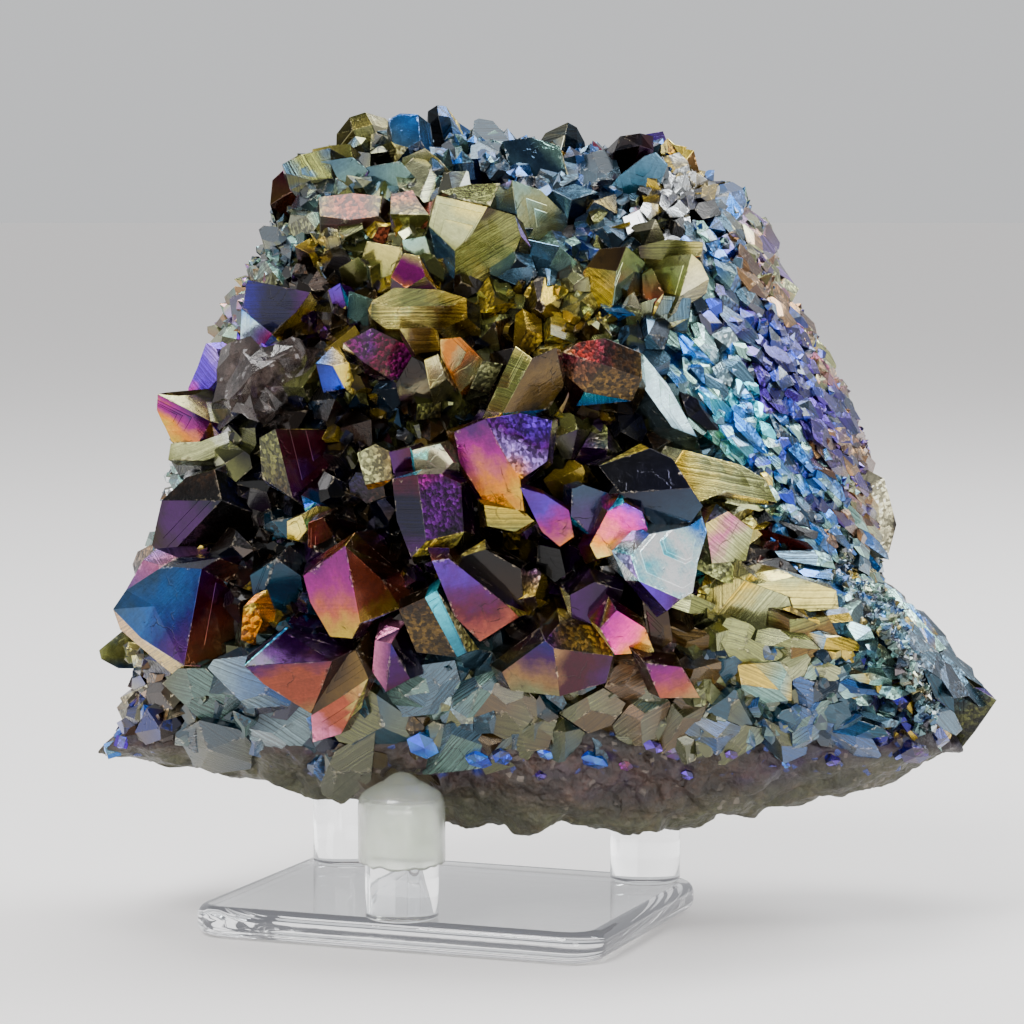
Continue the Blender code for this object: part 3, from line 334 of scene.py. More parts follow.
    "dark_cube": (3.5, 0.7, "b", "abcde", (
        (339, 268), (358, 257), (373, 272), (368, 288), (344, 289)), (
        "umber:.9 olive:.7 @60",)),
    "plum_splinter": (3.5, 0.6, "b", "abcd", (
        (328, 290), (340, 283), (346, 306), (335, 314)), (
        "plum:1 violet:.6 @90",)),
    "teal_triangle": (4.5, 0.6, "a", "abcd", (
        (349, 291), (376, 300), (362, 325), (347, 317)), (
        "teal:.9 mint:.8 cream:1 @0",)),
    "gold_log": (6.0, 0.4, "ij", "abcdji ijdefgha", (
        (372, 301), (395, 287), (440, 289), (466, 298), (467, 318), (440, 331), (385, 329), (371, 318),
        (386, 307), (454, 306)), (
        "straw:1 olive:.8 gold:1 @20 t",
        "olive:.6 straw:1 bronze:.8 gold:1 @0 t",)),
    "gold_kite": (4.0, 0.7, "f", "fabc fcd fdea", (
        (316, 363), (332, 347), (349, 362), (345, 388), (323, 393), (333, 366)), (
        "azure:.7 gold:.9 @0",
        "straw:1 gold:.9 @0",
        "blue:.9 navy:.8 @180",)),
    "maroon_slab": (5.5, 0.5, "b", "abf bcdef", (
        (343, 343), (372, 328), (405, 344), (413, 355), (395, 383), (362, 361)), (
        "maroon:.8 plum:.7 @0 r",
        "plum:.6 maroon:.8 magenta:.35 @330 r",)),
    "striped_chip": (5.0, 0.5, "a", "abcd", (
        (399, 328), (437, 327), (441, 350), (415, 354)), (
        "straw:.9 bronze:.9 gold:.9 @0 t",)),
    "pale_chip": (5.5, 0.6, "a", "abcd", (
        (424, 360), (438, 354), (446, 379), (430, 389)), (
        "straw:1 cream:.9 @0",)),
    "black_block": (5.0, 0.6, "b", "abcdef", (
        (396, 384), (412, 356), (427, 364), (441, 391), (421, 405), (400, 401)), (
        "black:.7 umber:.5 @270",)),
    "peach_blade": (6.5, 0.6, "ab", "abcdef", (
        (440, 339), (460, 337), (483, 360), (474, 379), (460, 392), (441, 356)), (
        "straw:.9 orange:.5 khaki:.7 @330",)),
    "khaki_rubble": (5.0, 0.6, "a", "abcd", (
        (483, 361), (503, 364), (489, 394), (470, 388)), (
        "khaki:.7 umber:.8 @300 r",)),
    "olive_prism": (7.0, 0.7, "cde", "abcde dfghe", (
        (486, 411), (505, 370), (516, 347), (532, 358), (503, 413), (556, 347), (564, 386), (548, 409)), (
        "straw:.9 olive:.9 bronze:.9 @250 s",
        "umber:.9 bronze:.7 black:.8 @300",)),
    "ember_dome": (6.0, 0.5, "i", "iabc icde iefg igha", (
        (562, 352), (580, 342), (605, 338), (641, 353), (642, 378), (632, 401), (585, 392), (560, 370),
        (602, 364)), (
        "maroon:.5 rust:.35 bronze:.6 @180 r",
        "maroon:.5 umber:.9 bronze:.6 @0 r",
        "umber:.9 bronze:.8 @270 r",
        "bronze:.8 maroon:.7 @90 r",)),
    "mint_ridge": (5.5, 0.5, "ac", "abcde", (
        (643, 354), (668, 385), (698, 438), (672, 427), (645, 389)), (
        "mint:.95 ice:1 steel:.7 @290",)),
    "heart": (8.0, 0.7, "bcd", "abcdefg bhijdc", (
        (454, 432), (485, 419), (505, 456), (520, 480), (524, 510), (485, 504), (460, 463), (520, 413),
        (552, 420), (547, 461)), (
        "plum:.7 magenta:.7 orange:.65 gold:.8 @285",
        "violet:.7 plum:.8 lilac:.8 orange:.9 @250 r",)),
    "heart_foot": (6.0, 0.6, "ab", "abcde", (
        (484, 505), (523, 511), (534, 521), (515, 532), (487, 526)), (
        "gold:.9 olive:.8 @270 s",)),
    "mint_wedge": (6.0, 0.6, "b", "abcde", (
        (412, 450), (440, 444), (453, 462), (441, 474), (414, 471)), (
        "mint:.95 cream:1 khaki:.7 @250",)),
    "maroon_chip": (5.5, 0.6, "b", "abcd", (
        (389, 452), (410, 447), (413, 472), (393, 478)), (
        "plum:.6 maroon:.6 @0",)),
    "grey_chip": (5.0, 0.6, "c", "abcde", (
        (357, 453), (375, 444), (390, 452), (392, 479), (365, 485)), (
        "khaki:.7 bronze:.7 @0 r",)),
    "plum_column": (7.0, 0.6, "bj", "abjgh bcdej jefg", (
        (392, 479), (417, 475), (441, 474), (461, 483), (464, 531), (453, 553), (411, 557), (397, 520),
        (402, 490), (426, 541)), (
        "plum:.4 navy:.6 maroon:.6 @90 s",
        "magenta:.4 plum:.6 black:.8 @300 r",
        "gold:.7 olive:.8 @0 r",)),
    "violet_flame": (7.0, 0.6, "ab", "abcdef", (
        (520, 487), (545, 495), (569, 510), (574, 537), (560, 547), (542, 532)), (
        "plum:.7 violet:.5 magenta:.6 orange:.7 @280",)),
    "slate_kite": (7.0, 0.6, "ab", "abcdef", (
        (572, 489), (584, 485), (611, 494), (619, 506), (598, 542), (571, 516)), (
        "slate:.6 plum:.6 @280",)),
    "navy_roof": (8.0, 0.5, "hd", "abcdh hdefg", (
        (599, 466), (650, 448), (673, 459), (691, 488), (703, 506), (691, 523), (655, 526), (620, 493)), (
        "black:.7 navy:.6 @330",
        "navy:.5 slate:.5 @300",)),
    "pink_flame": (8.0, 0.5, "bc", "abcdefg", (
        (608, 511), (625, 503), (642, 512), (648, 531), (618, 554), (597, 559), (590, 545)), (
        "violet:1 pink:1 orange:1.1 straw:1.1 @255",)),
    "white_face": (9.0, 0.45, "hi", "abcdefghi hgj", (
        (650, 534), (690, 526), (702, 517), (707, 531), (698, 562), (693, 592), (681, 599), (639, 581),
        (631, 556), (667, 611)), (
        "azure:1 ice:1.2 white:1.2 cyan:1 @210",
        "violet:.7 plum:.6 @0",)),
    "amber_face": (8.0, 0.45, "ga", "abcdefg", (
        (671, 470), (683, 450), (741, 465), (766, 480), (777, 502), (726, 492), (696, 503)), (
        "gold:1 straw:1.2 khaki:1.2 olive:1 @350 t",)),
    "blush_face": (7.0, 0.6, "a", "abcde", (
        (706, 524), (728, 511), (753, 530), (746, 561), (712, 563)), (
        "straw:.9 rose:.5 khaki:1 olive:1 @320 t",)),
    "bronze_block": (5.0, 0.6, "b", "abf bcdef", (
        (700, 593), (750, 574), (791, 598), (789, 630), (742, 642), (702, 629)), (
        "khaki:.7 straw:.8 olive:.8 @0 s",
        "gold:1 khaki:1 olive:1 @320 s",)),
    "striped_ledge": (4.0, 0.6, "ab", "abcdef", (
        (756, 584), (795, 577), (836, 590), (839, 609), (795, 613), (790, 597)), (
        "khaki:1.1 straw:1.1 olive:1 @270 s",)),
    "copper_block": (3.0, 0.6, "a", "abcde", (
        (790, 620), (828, 616), (843, 645), (838, 664), (791, 660)), (
        "olive:1 bronze:1 khaki:.7 @290 s",)),
    "great_wedge": (6.0, 0.7, "de", "acdefg dhikle abc gfemn", (
        (126, 590), (143, 560), (163, 566), (202, 568), (184, 665), (140, 638), (113, 609), (223, 580),
        (243, 606), (230, 640), (241, 651), (206, 663), (177, 681), (118, 632)), (
        "slate:1 azure:.3 indigo:.7 plum:.9 @315",
        "plum:.8 maroon:.8 coral:.5 tan:.5 @300",
        "lilac:.5 rose:.6 @30",
        "tan:.8 gold:.7 @300 s",)),
    "gold_tooth": (5.0, 0.7, "a", "abcde", (
        (243, 607), (254, 602), (262, 622), (252, 645), (241, 640)), (
        "gold:1.2 orange:1 bronze:1 @270 r",)),
    "teal_foot": (1.5, 0.6, "b", "abcdef", (
        (99, 650), (120, 633), (148, 648), (150, 669), (118, 669), (101, 659)), (
        "khaki:.6 olive:1 slate:1 @270",)),
    "cream_foot": (1.0, 0.5, "b", "abcde", (
        (121, 696), (150, 684), (171, 695), (167, 719), (131, 724)), (
        "cream:.8 tan:.7 @270 r",)),
    "long_wedge": (6.0, 0.7, "ac", "abc acde", (
        (244, 666), (285, 631), (332, 661), (311, 714), (264, 684)), (
        "navy:.6 plum:.5 maroon:.5 @0",
        "plum:.6 coral:.5 tan:.5 @280",)),
    "magenta_flag": (6.5, 0.6, "be", "abefgh bcde", (
        (303, 576), (345, 546), (383, 580), (400, 609), (360, 623), (352, 638), (330, 637), (310, 602)), (
        "plum:.6 magenta:.55 coral:.6 gold:.6 @270",
        "maroon:.6 coral:.5 gold:.6 @300",)),
    "teal_glass": (4.5, 0.6, "b", "abf bcdef", (
        (250, 575), (276, 559), (301, 576), (305, 606), (285, 623), (256, 612)), (
        "navy:.8 teal:.4 @90",
        "slate:.5 teal:.35 black:.9 @270",)),
    "indigo_tooth": (6.0, 0.7, "b", "abde bcd", (
        (375, 640), (391, 644), (410, 679), (386, 692), (372, 672)), (
        "rose:.5 plum:.6 @0",
        "indigo:.8 plum:.6 maroon:.6 @280",)),
    "amber_plate": (7.0, 0.6, "be", "abcd befc", (
        (399, 609), (425, 598), (457, 657), (416, 653), (437, 591), (467, 652)), (
        "umber:.9 bronze:.5 black:.9 @300 r",
        "cyan:.7 teal:.8 @300",)),
    "violet_plate": (8.0, 0.5, "ab", "abcdef", (
        (432, 561), (449, 559), (506, 604), (519, 617), (480, 642), (455, 617)), (
        "violet:.6 plum:.8 maroon:.8 coral:.6 @290",)),
    "dark_hollow": (5.0, 0.5, "b", "abcde", (
        (455, 558), (486, 550), (521, 569), (524, 606), (506, 602)), (
        "black:.8 umber:.7 @270",)),
    "cream_wedge": (6.0, 0.7, "ad", "abcdi aidfgh", (
        (311, 716), (330, 664), (356, 649), (368, 679), (366, 684), (351, 717), (341, 734), (313, 742),
        (336, 700)), (
        "umber:.8 bronze:.9 @0",
        "straw:.7 coral:.6 rose:.8 @225",)),
    "tan_roof": (8.0, 0.7, "i", "bcdei iefg abigh", (
        (502, 672), (545, 640), (560, 623), (600, 627), (613, 655), (606, 683), (560, 696), (511, 691),
        (554, 649)), (
        "plum:.5 bronze:.7 gold:.6 @20 r",
        "tan:.4 maroon:.4 plum:.5 @330",
        "indigo:.5 plum:.45 tan:.35 khaki:.3 @265",)),
    "orchid_kite": (8.0, 0.6, "b", "abcde", (
        (600, 628), (617, 611), (645, 628), (654, 652), (615, 655)), (
        "magenta:1 pink:1 orange:1 straw:1 @320",)),
    "plum_hollow": (6.0, 0.6, "b", "abcdef", (
        (570, 595), (595, 583), (623, 590), (617, 611), (598, 628), (572, 623)), (
        "plum:.5 black:.8 @0",)),
    "brown_ridge": (7.0, 0.6, "a", "abcde", (
        (640, 583), (668, 611), (673, 641), (655, 652), (646, 628)), (
        "maroon:.7 umber:.9 bronze:.8 @280",)),
    "magenta_tooth": (7.0, 0.6, "a", "abcd", (
        (645, 663), (682, 667), (700, 698), (660, 698)), (
        "plum:.6 magenta:.45 coral:.5 tan:.5 @290",)),
    "end_block": (0.5, 0.6, "a", "abcde", (
        (868, 485), (884, 478), (897, 525), (889, 553), (874, 545)), (
        "brown:.8 cream:.8 umber:.8 @0 r",)),
    "broken_corner": (2.0, 0.6, "b", "abcdef", (
        (944, 700), (975, 688), (996, 699), (976, 731), (960, 751), (946, 746)), (
        "teal:.25 olive:.2 black:.8 @300 r",)),
}

# ---------------------------------------------------------------- zones between the drawn crystals
# Middle of each zone on the elevation, the radius of its small crystals in mm, their colours. Their shades
# are partly painted light: dark zones paint shade and dark reflections among the crystals, bright zones
# painted highlights.
ZONES = (
    (285, 240, 0.7, "mint:.6 khaki:.5 steel:.4 slate:.5"),
    (350, 150, 1.2, "steel:.4 khaki:.4 olive:.5 slate:.5"),
    (400, 180, 1.2, "steel:.45 khaki:.4 olive:.4 slate:.5"),
    (388, 222, 0.8, "gold:.6 olive:.6 coral:.4 khaki:.5"),
    (345, 235, 0.8, "olive:.6 straw:.5 mint:.5 slate:.6"),
    (455, 150, 1.2, "steel:.45 slate:.5 azure:.3 mint:.35"),
    (540, 230, 1.2, "steel:.8 mint:.7 slate:.8 navy:.8"),
    (545, 175, 1.2, "steel:.5 azure:.35 slate:.5 navy:.9"),
    (620, 165, 1.2, "maroon:.45 steel:.4 azure:.3 slate:.5"),
    (670, 212, 0.45, "white:.65 gold:.6 black:.9 navy:.7"),
    (610, 230, 1.0, "steel:.5 olive:.6 gold:.5 slate:.6"),
    (575, 240, 1.0, "steel:.5 slate:.6 blue:.35 mint:.4"),
    (540, 300, 1.2, "olive:.9 gold:.8 khaki:.8 umber:.9"),
    (480, 325, 1.2, "olive:.9 gold:.8 umber:.9 navy:.9"),
    (560, 325, 1.0, "gold:.8 khaki:.9 bronze:.8 olive:.8"),
    (660, 325, 1.0, "azure:.7 steel:.8 mint:.8 slate:.5"),
    (320, 290, 1.0, "umber:.6 bronze:.6 plum:.5 black:.8"),
    (225, 300, 0.9, "lilac:.8 khaki:.7 mint:.8 tan:.7"),
    (195, 360, 0.9, "lilac:.8 violet:.7 tan:.7 mint:.7"),
    (245, 455, 1.2, "navy:.7 umber:.5 black:.9 olive:.5"),
    (160, 500, 0.9, "mint:.8 steel:.7 white:.9 tan:.7"),
    (235, 560, 1.0, "navy:.7 gold:.5 umber:.5 black:.9"),
    (300, 505, 1.2, "umber:.5 black:.9 navy:.7 plum:.5"),
    (285, 550, 1.1, "umber:.5 teal:.45 plum:.5 black:.9"),
    (350, 400, 1.1, "umber:.8 olive:.5 slate:.4 gold:.5 navy:.9"),
    (420, 420, 1.1, "umber:.8 olive:.5 bronze:.6 slate:.5"),
    (350, 520, 1.3, "umber:.5 bronze:.4 black:.9 navy:.7"),
    (375, 560, 1.2, "umber:.7 black:.9 plum:.5 gold:.6"),
    (490, 545, 1.2, "umber:.6 black:.9 gold:.6 navy:.7"),
    (565, 440, 1.2, "umber:.6 plum:.6 olive:.6 black:.9"),
    (590, 405, 0.9, "gold:.6 plum:.5 bronze:.6 umber:.6"),
    (660, 430, 1.1, "navy:.8 umber:.6 black:.9 olive:.5"),
    (570, 565, 1.1, "umber:.6 plum:.6 black:.9 gold:.5"), (670, 540, 1.0, "cyan:.7 navy:.8 plum:.6"),
    (735, 530, 1.0, "straw:1.2 gold:1.2 khaki:1.1 olive:1"),
    (740, 600, 1.0, "gold:1.2 straw:1.2 olive:1.1 khaki:1.1"),
    (810, 640, 0.9, "gold:.8 olive:.8 mint:.6 khaki:.7"),
    (840, 620, 0.9, "gold:.8 steel:.8 mint:.9 slate:.6"),
    (710, 655, 1.0, "khaki:.5 olive:.6 bronze:.8 slate:.5"),
    (650, 600, 1.1, "plum:.6 umber:.6 bronze:.6 black:.8"),
    (120, 640, 1.0, "teal:.6 olive:.6 straw:.7 bronze:.6"),
    (130, 695, 0.9, "cream:.2 tan:.2 brown:.35 blue:.25"),
    (215, 700, 1.5, "mint:.17 olive:.24 teal:.3 steel:.17"),
    (285, 725, 1.3, "azure:.22 ice:.25 teal:.3 navy:.8"),
    (370, 735, 2.0, "olive:.4 khaki:.16 teal:.35 bronze:.4"),
    (450, 690, 2.0, "teal:.4 mint:.22 olive:.38 steel:.3"),
    (545, 715, 1.6, "teal:.35 olive:.28 bronze:.4 steel:.22"),
    (650, 712, 1.8, "olive:.32 tan:.18 khaki:.16 bronze:.5"),
    (750, 705, 1.1, "teal:.4 olive:.3 azure:.18 mint:.2"),
    (840, 705, 0.9, "teal:.45 slate:.35 azure:.18 mint:.2"),
    (705, 240, 0.8, "mint:.5 steel:.38 azure:.45 slate:.5"),
    (745, 215, 0.9, "mint:.5 steel:.4 azure:.4 olive:.4"),
    (740, 305, 1.0, "indigo:.7 navy:.9 blue:.6 steel:.6"),
    (700, 360, 0.8, "mint:1.1 ice:.9 azure:.9 steel:.9"),
    (735, 420, 0.8, "azure:1 mint:1.1 steel:.9 cyan:.8"),
    (785, 465, 0.7, "azure:.8 blue:.7 slate:1 mint:.7"),
    (785, 330, 0.7, "blue:.5 indigo:.7 slate:.6 violet:.45"),
    (815, 400, 0.7, "indigo:.7 violet:.5 slate:.7 blue:.5"),
    (850, 440, 0.6, "violet:.4 tan:.6 brown:.8 indigo:.5"),
    (868, 510, 0.6, "tan:.6 brown:.8 violet:.35 khaki:.6"),
    (770, 245, 0.6, "tan:.6 khaki:.6 brown:.8 lilac:.4"),
    (806, 300, 0.6, "tan:.6 brown:.9 rose:.35 khaki:.6"),
    (840, 370, 0.6, "tan:.6 brown:.9 rose:.35 khaki:.6"),
    (825, 505, 0.7, "azure:.8 indigo:.8 slate:1 mint:.7"),
    (800, 528, 0.7, "azure:.8 mint:.8 slate:.8 steel:.8"),
    (838, 572, 0.6, "mint:.8 steel:.7 gold:.5 azure:.7"),
    (905, 630, 0.5, "mint:.9 steel:.7 gold:.6 azure:.7"), (945, 645, 1.4, "steel:.45 steel:.4 slate:.6"),
    (885, 680, 0.5, "mint:.8 steel:.7 indigo:.9 gold:.6"), (970, 675, 1.4, "steel:.45 slate:.6 teal:.45"),
    (775, 552, 0.7, "black:.8 umber:.6 rust:.4 black:.9"),
)
# The nearest zone of each place that was asked for.
NEAREST = {}
# The ridge between the front and the right flank, from top to bottom.
RIDGE = ((690, 215), (665, 330), (672, 372), (700, 440), (768, 482), (806, 548), (842, 590),
         (872, 640), (905, 700), (905, 765))
MOSAIC_TRIES = 60000
WIDEST = 40.0
STEEPEST = 0.28
RIM_SEED = 51
RIM_COUNT = 700
# The lobe's corner, beyond this column and below this row, has no rim crystals.
RIM_LAST_COLUMN = 890
RIM_LAST_ROW = 560
MATRIX_TOP = 742
GLASSY_TOP = 688
LOBE_LEFT = 900
BLUE_FOOT = 776
# Upper and lower edge of the broken glassy band, across the elevation.
BAND_TOP = ((185, 668), (240, 672), (300, 712), (345, 738), (372, 684), (398, 668), (452, 655), (500, 662),
            (520, 690), (608, 688), (622, 656), (645, 690), (695, 700), (702, 648), (760, 640), (860, 655))
BAND_FOOT = ((185, 746), (308, 750), (316, 782), (400, 782), (410, 748), (620, 744), (860, 748))
# Columns between which the matrix turns from brown to plum, and darker in painted shade, towards the right.
PLUM_FROM = 700
PLUM_WIDTH = 140
PIT_SCALE = 330
PIT_REACH = 0.55
CHIP_SEED = 5
PATCH_SEED = 71
STEP_SEED = 83
STEP_HEIGHT = 0.05 * MM
SKIRT_WIDTH = 1.2 * MM
SKIRT_DEPTH = 2.4 * MM
# Faces whose middle lies this far in from their edge, in mm, are cut round it.
BROAD = 0.45
# Share of skirt slivers that take one of these bright films, as painted glints.
PAINTED_GLINT_SHARE = 0.22
# Shades of the skirt sides: painted shade in the gaps between the crystals.
SIDE_PAINTED_SHADES = (0.12, 0.2, 0.3, 0.45, 0.7)
WORN_EDGE = 0.09 * MM
WORN_ANGLE = math.radians(20)
CELL_FILL = 0.97
MOSAIC_REACH = 520
# How far in mm the mosaic lies lower under the lobe's druse, and the lobe's outer strip, where it lies flush.
LOBE_SINK = 1.9
SMOOTH_EDGE = ((878, 572), (908, 585), (952, 640), (992, 690), (976, 735), (944, 748), (936, 700),
               (930, 668), (912, 640), (894, 612))
# Lenses of filmed quartz left in the matrix: middle, radius in mm, colours.
LENSES = (
    (424, 752, 2.2, "azure:.9 blue:.8"), (452, 749, 1.5, "blue:.8 indigo:.8"),
    (478, 752, 1.8, "azure:.7 blue:.7"), (505, 748, 1.4, "slate:.6 blue:.6"),
    (594, 764, 2.0, "blue:.9 azure:.9"), (556, 754, 1.2, "azure:.8 blue:.7"),
    (562, 740, 1.5, "azure:.8 steel:.7"), (651, 747, 1.5, "violet:.6 plum:.7"),
    (672, 757, 1.4, "indigo:.8 plum:.7"), (690, 772, 0.9, "violet:.6 indigo:.7"),
    (700, 752, 1.1, "violet:.5 blue:.6"), (730, 752, 1.0, "violet:.6 plum:.6"),
    (776, 766, 1.0, "azure:.9 blue:.9"), (757, 770, 0.8, "violet:.7 blue:.6"),
    (840, 760, 1.2, "indigo:.8 violet:.5"), (905, 742, 2.2, "indigo:.7 plum:.6"),
    (888, 752, 1.2, "blue:.7 indigo:.7"), (940, 738, 1.6, "blue:.6 navy:.8"),
    (118, 735, 1.3, "azure:.8 blue:.8"), (140, 716, 1.2, "blue:.8 azure:.6"),
    (162, 728, 1.2, "blue:.9 indigo:.8"), (112, 750, 1.1, "azure:.7 steel:.7"),
    (185, 744, 1.4, "indigo:.7 plum:.6"), (128, 748, 0.9, "blue:.8 violet:.7"),
    (205, 758, 1.0, "plum:.6 violet:.5"), (620, 772, 1.0, "plum:.6 maroon:.6"),
    (545, 775, 0.9, "plum:.6 violet:.5"),
)

# ---------------------------------------------------------------- elevation to space
def at(u, v, depth):
    """The point seen at (u, v) on the elevation that lies `depth` metres back."""
    across = (u - SHEET_MIDDLE) / SHEET_LENS
    rise = (SHEET_MIDDLE - v) / SHEET_LENS
    sight = Vector((across, 0.0, 0.0)) + UPWARD * rise - BACKWARD
    return EYE + sight * ((depth - EYE.y) / sight.y)


def seen_at(point):
    """Where a point in space is seen on the elevation."""
    sight = point - EYE
    far = -sight.dot(BACKWARD)
    return (SHEET_MIDDLE + SHEET_LENS * sight.x / far,
            SHEET_MIDDLE - SHEET_LENS * sight.dot(UPWARD) / far)


def round_compass(table, angle):
    """Reads a table of (angle, value) smoothly at a compass angle in degrees."""
    angle = angle % 360
    for (a0, d0), (a1, d1) in zip(table, table[1:]):
        if a0 <= angle <= a1:
            share = (angle - a0) / (a1 - a0)
            return d0 + (d1 - d0) * share * share * (3 - 2 * share)
    return table[0][1]


# How far the outline reaches at each quarter degree that was asked for.
REACHES = {}


def exact_reach(angle):
    way = (math.cos(math.radians(angle)), -math.sin(math.radians(angle)))
    reach = 0.0
    corners = MOUND_OUTLINE + MOUND_OUTLINE[:1]
    for (x0, y0), (x1, y1) in zip(corners, corners[1:]):
        x0, y0 = x0 - MOUND_MIDDLE[0], y0 - MOUND_MIDDLE[1]
        x1, y1 = x1 - MOUND_MIDDLE[0], y1 - MOUND_MIDDLE[1]
        side = (x1 - x0, y1 - y0)
        cross = way[0] * side[1] - way[1] * side[0]
        if abs(cross) < 1e-9:
            continue
        distance = (x0 * side[1] - y0 * side[0]) / cross
        along = (x0 * way[1] - y0 * way[0]) / cross
        if distance > 0 and 0 <= along <= 1:
            reach = max(reach, distance)
    return reach


def rim_reach(angle):
    """How far the outline lies from the mound's middle, in elevation units."""
    steps = 4
    place = (angle % 360) * steps
    low = math.floor(place)
    for number in (low, low + 1):
        if number not in REACHES:
            REACHES[number] = exact_reach(number / steps)
    share = place - low
    return REACHES[low] * (1 - share) + REACHES[low + 1] * share


def rim_depth(angle):
    return round_compass(RIM_DEPTHS, angle)


def bulge(share, roundness):
    return max(0.0, 1 - share ** roundness) ** (1 / roundness)


def mound_depth(u, v):
    """Depth in mm of the mound's front at (u, v)."""
    du, dv = u - MOUND_MIDDLE[0], MOUND_MIDDLE[1] - v
    angle = math.degrees(math.atan2(dv, du))
    share = min(1.0, math.hypot(du, dv) / rim_reach(angle))
    rim = rim_depth(angle)
    return rim + (MOUND_FRONT - rim) * bulge(share, FRONT_ROUNDNESS)


def mound_normal(u, v):
    step = 6.0
    right = at(u + step, v, mound_depth(u + step, v) * MM)
    left = at(u - step, v, mound_depth(u - step, v) * MM)
    above = at(u, v - step, mound_depth(u, v - step) * MM)
    below = at(u, v + step, mound_depth(u, v + step) * MM)
    normal = (right - left).cross(above - below)
    return normal.normalized()


def rock(point):
    """Rough displacement of the matrix at a point."""
    coarse = noise.noise_vector(point * ROCK_COARSE_SCALE) * ROCK_COARSE
    fine = noise.noise_vector(point * ROCK_FINE_SCALE) * ROCK_FINE
    return point + coarse + fine


def mound_point(way):
    """The mound's surface in the direction `way` from its middle."""
    angle = math.degrees(math.atan2(way.z, way.x))
    out, forward = math.hypot(way.x, way.z), abs(way.y)
    if way.y < 0:
        far, roundness = MOUND_FRONT, FRONT_ROUNDNESS
    else:
        far, roundness = MOUND_BACK, round_compass(BACK_ROUNDNESS, angle)
    scale = (out ** roundness + forward ** roundness) ** (1 / roundness)
    reach = rim_reach(angle) * out / scale
    rim = rim_depth(angle)
    depth = rim + (far - rim) * forward / scale
    u = MOUND_MIDDLE[0] + reach * math.cos(math.radians(angle))
    v = MOUND_MIDDLE[1] - reach * math.sin(math.radians(angle))
    return at(u, v, depth * MM)


def unit(value):
    return max(0.0, min(1.0, value))


def inside(u, v, outline):
    within = False
    for (x0, y0), (x1, y1) in zip(outline, outline[1:] + outline[:1]):
        if (y0 > v) != (y1 > v) and u < (x1 - x0) * (v - y0) / (y1 - y0) + x0:
            within = not within
    return within


LETTERS = "abcdefghijklmn"


def drawn_outlines():
    found = []
    for _, _, _, words, sheet, _ in CRYSTALS.values():
        letters = dict(zip(LETTERS, sheet))
        for word in words.split():
            found.append(tuple(letters[letter] for letter in word))
    return found


def boxed(outline):
    us, vs = zip(*outline)
    return min(us), max(us), min(vs), max(vs), outline


OUTLINES = [boxed(outline) for outline in drawn_outlines()]


def covered(u, v):
    """Whether a drawn crystal already stands at (u, v)."""
    for left, right, top, bottom, outline in OUTLINES:
        if left <= u <= right and top <= v <= bottom and inside(u, v, outline):
            return True
    return False


def between(table, u):
    """The value at `u` of a table of (u, value) that rises in u."""
    for (a, low), (b, high) in zip(table, table[1:]):
        if a <= u <= b:
            return low + (high - low) * (u - a) / (b - a)
    return table[0][1] if u < table[0][0] else table[-1][1]


def ridge_at(v):
    for (u0, v0), (u1, v1) in zip(RIDGE, RIDGE[1:]):
        if v0 <= v <= v1:
            return u0 + (u1 - u0) * (v - v0) / (v1 - v0)
    return None


def on_flank(u, v):
    edge = ridge_at(v)
    return edge is not None and u > edge


# ---------------------------------------------------------------- film finishes
def linear(colour):
    """A display colour as linear light, made a little richer and deeper."""
    parts = [((c / 255 / 12.92) if c < 10.3 else ((c / 255 + 0.055) / 1.055) ** 2.4) ** DEPTH for c in colour]
    grey = 0.2126 * parts[0] + 0.7152 * parts[1] + 0.0722 * parts[2]
    return tuple(max(0.001, grey + (part - grey) * RICHNESS) for part in parts)


def mixed(a, b, share):
    return tuple(x + (y - x) * share for x, y in zip(a, b))


def stop_colour(word):
    name, _, shade = word.partition(":")
    return tuple(channel * float(shade or 1) for channel in linear(FILM[name]))


def read_finish(text):
    """Four colours from first to last, the compass way they run, and the kind of surface."""
    angle, kind, found = 270.0, "", []
    for word in text.split():
        if word[0] == "@":
            angle = float(word[1:])
        elif word in ("s", "t", "r"):
            kind = word
        else:
            found.append(stop_colour(word))
    if len(found) == 1:
        stops = found * 4
    elif len(found) == 2:
        stops = [found[0], mixed(*found, 1 / 3), mixed(*found, 2 / 3), found[1]]
    elif len(found) == 3:
        stops = [found[0], found[1], found[1], found[2]]
    else:
        stops = found
    return stops, angle, kind


def shaded(stops, shade):
    return [tuple(channel * shade for channel in stop) for stop in stops]


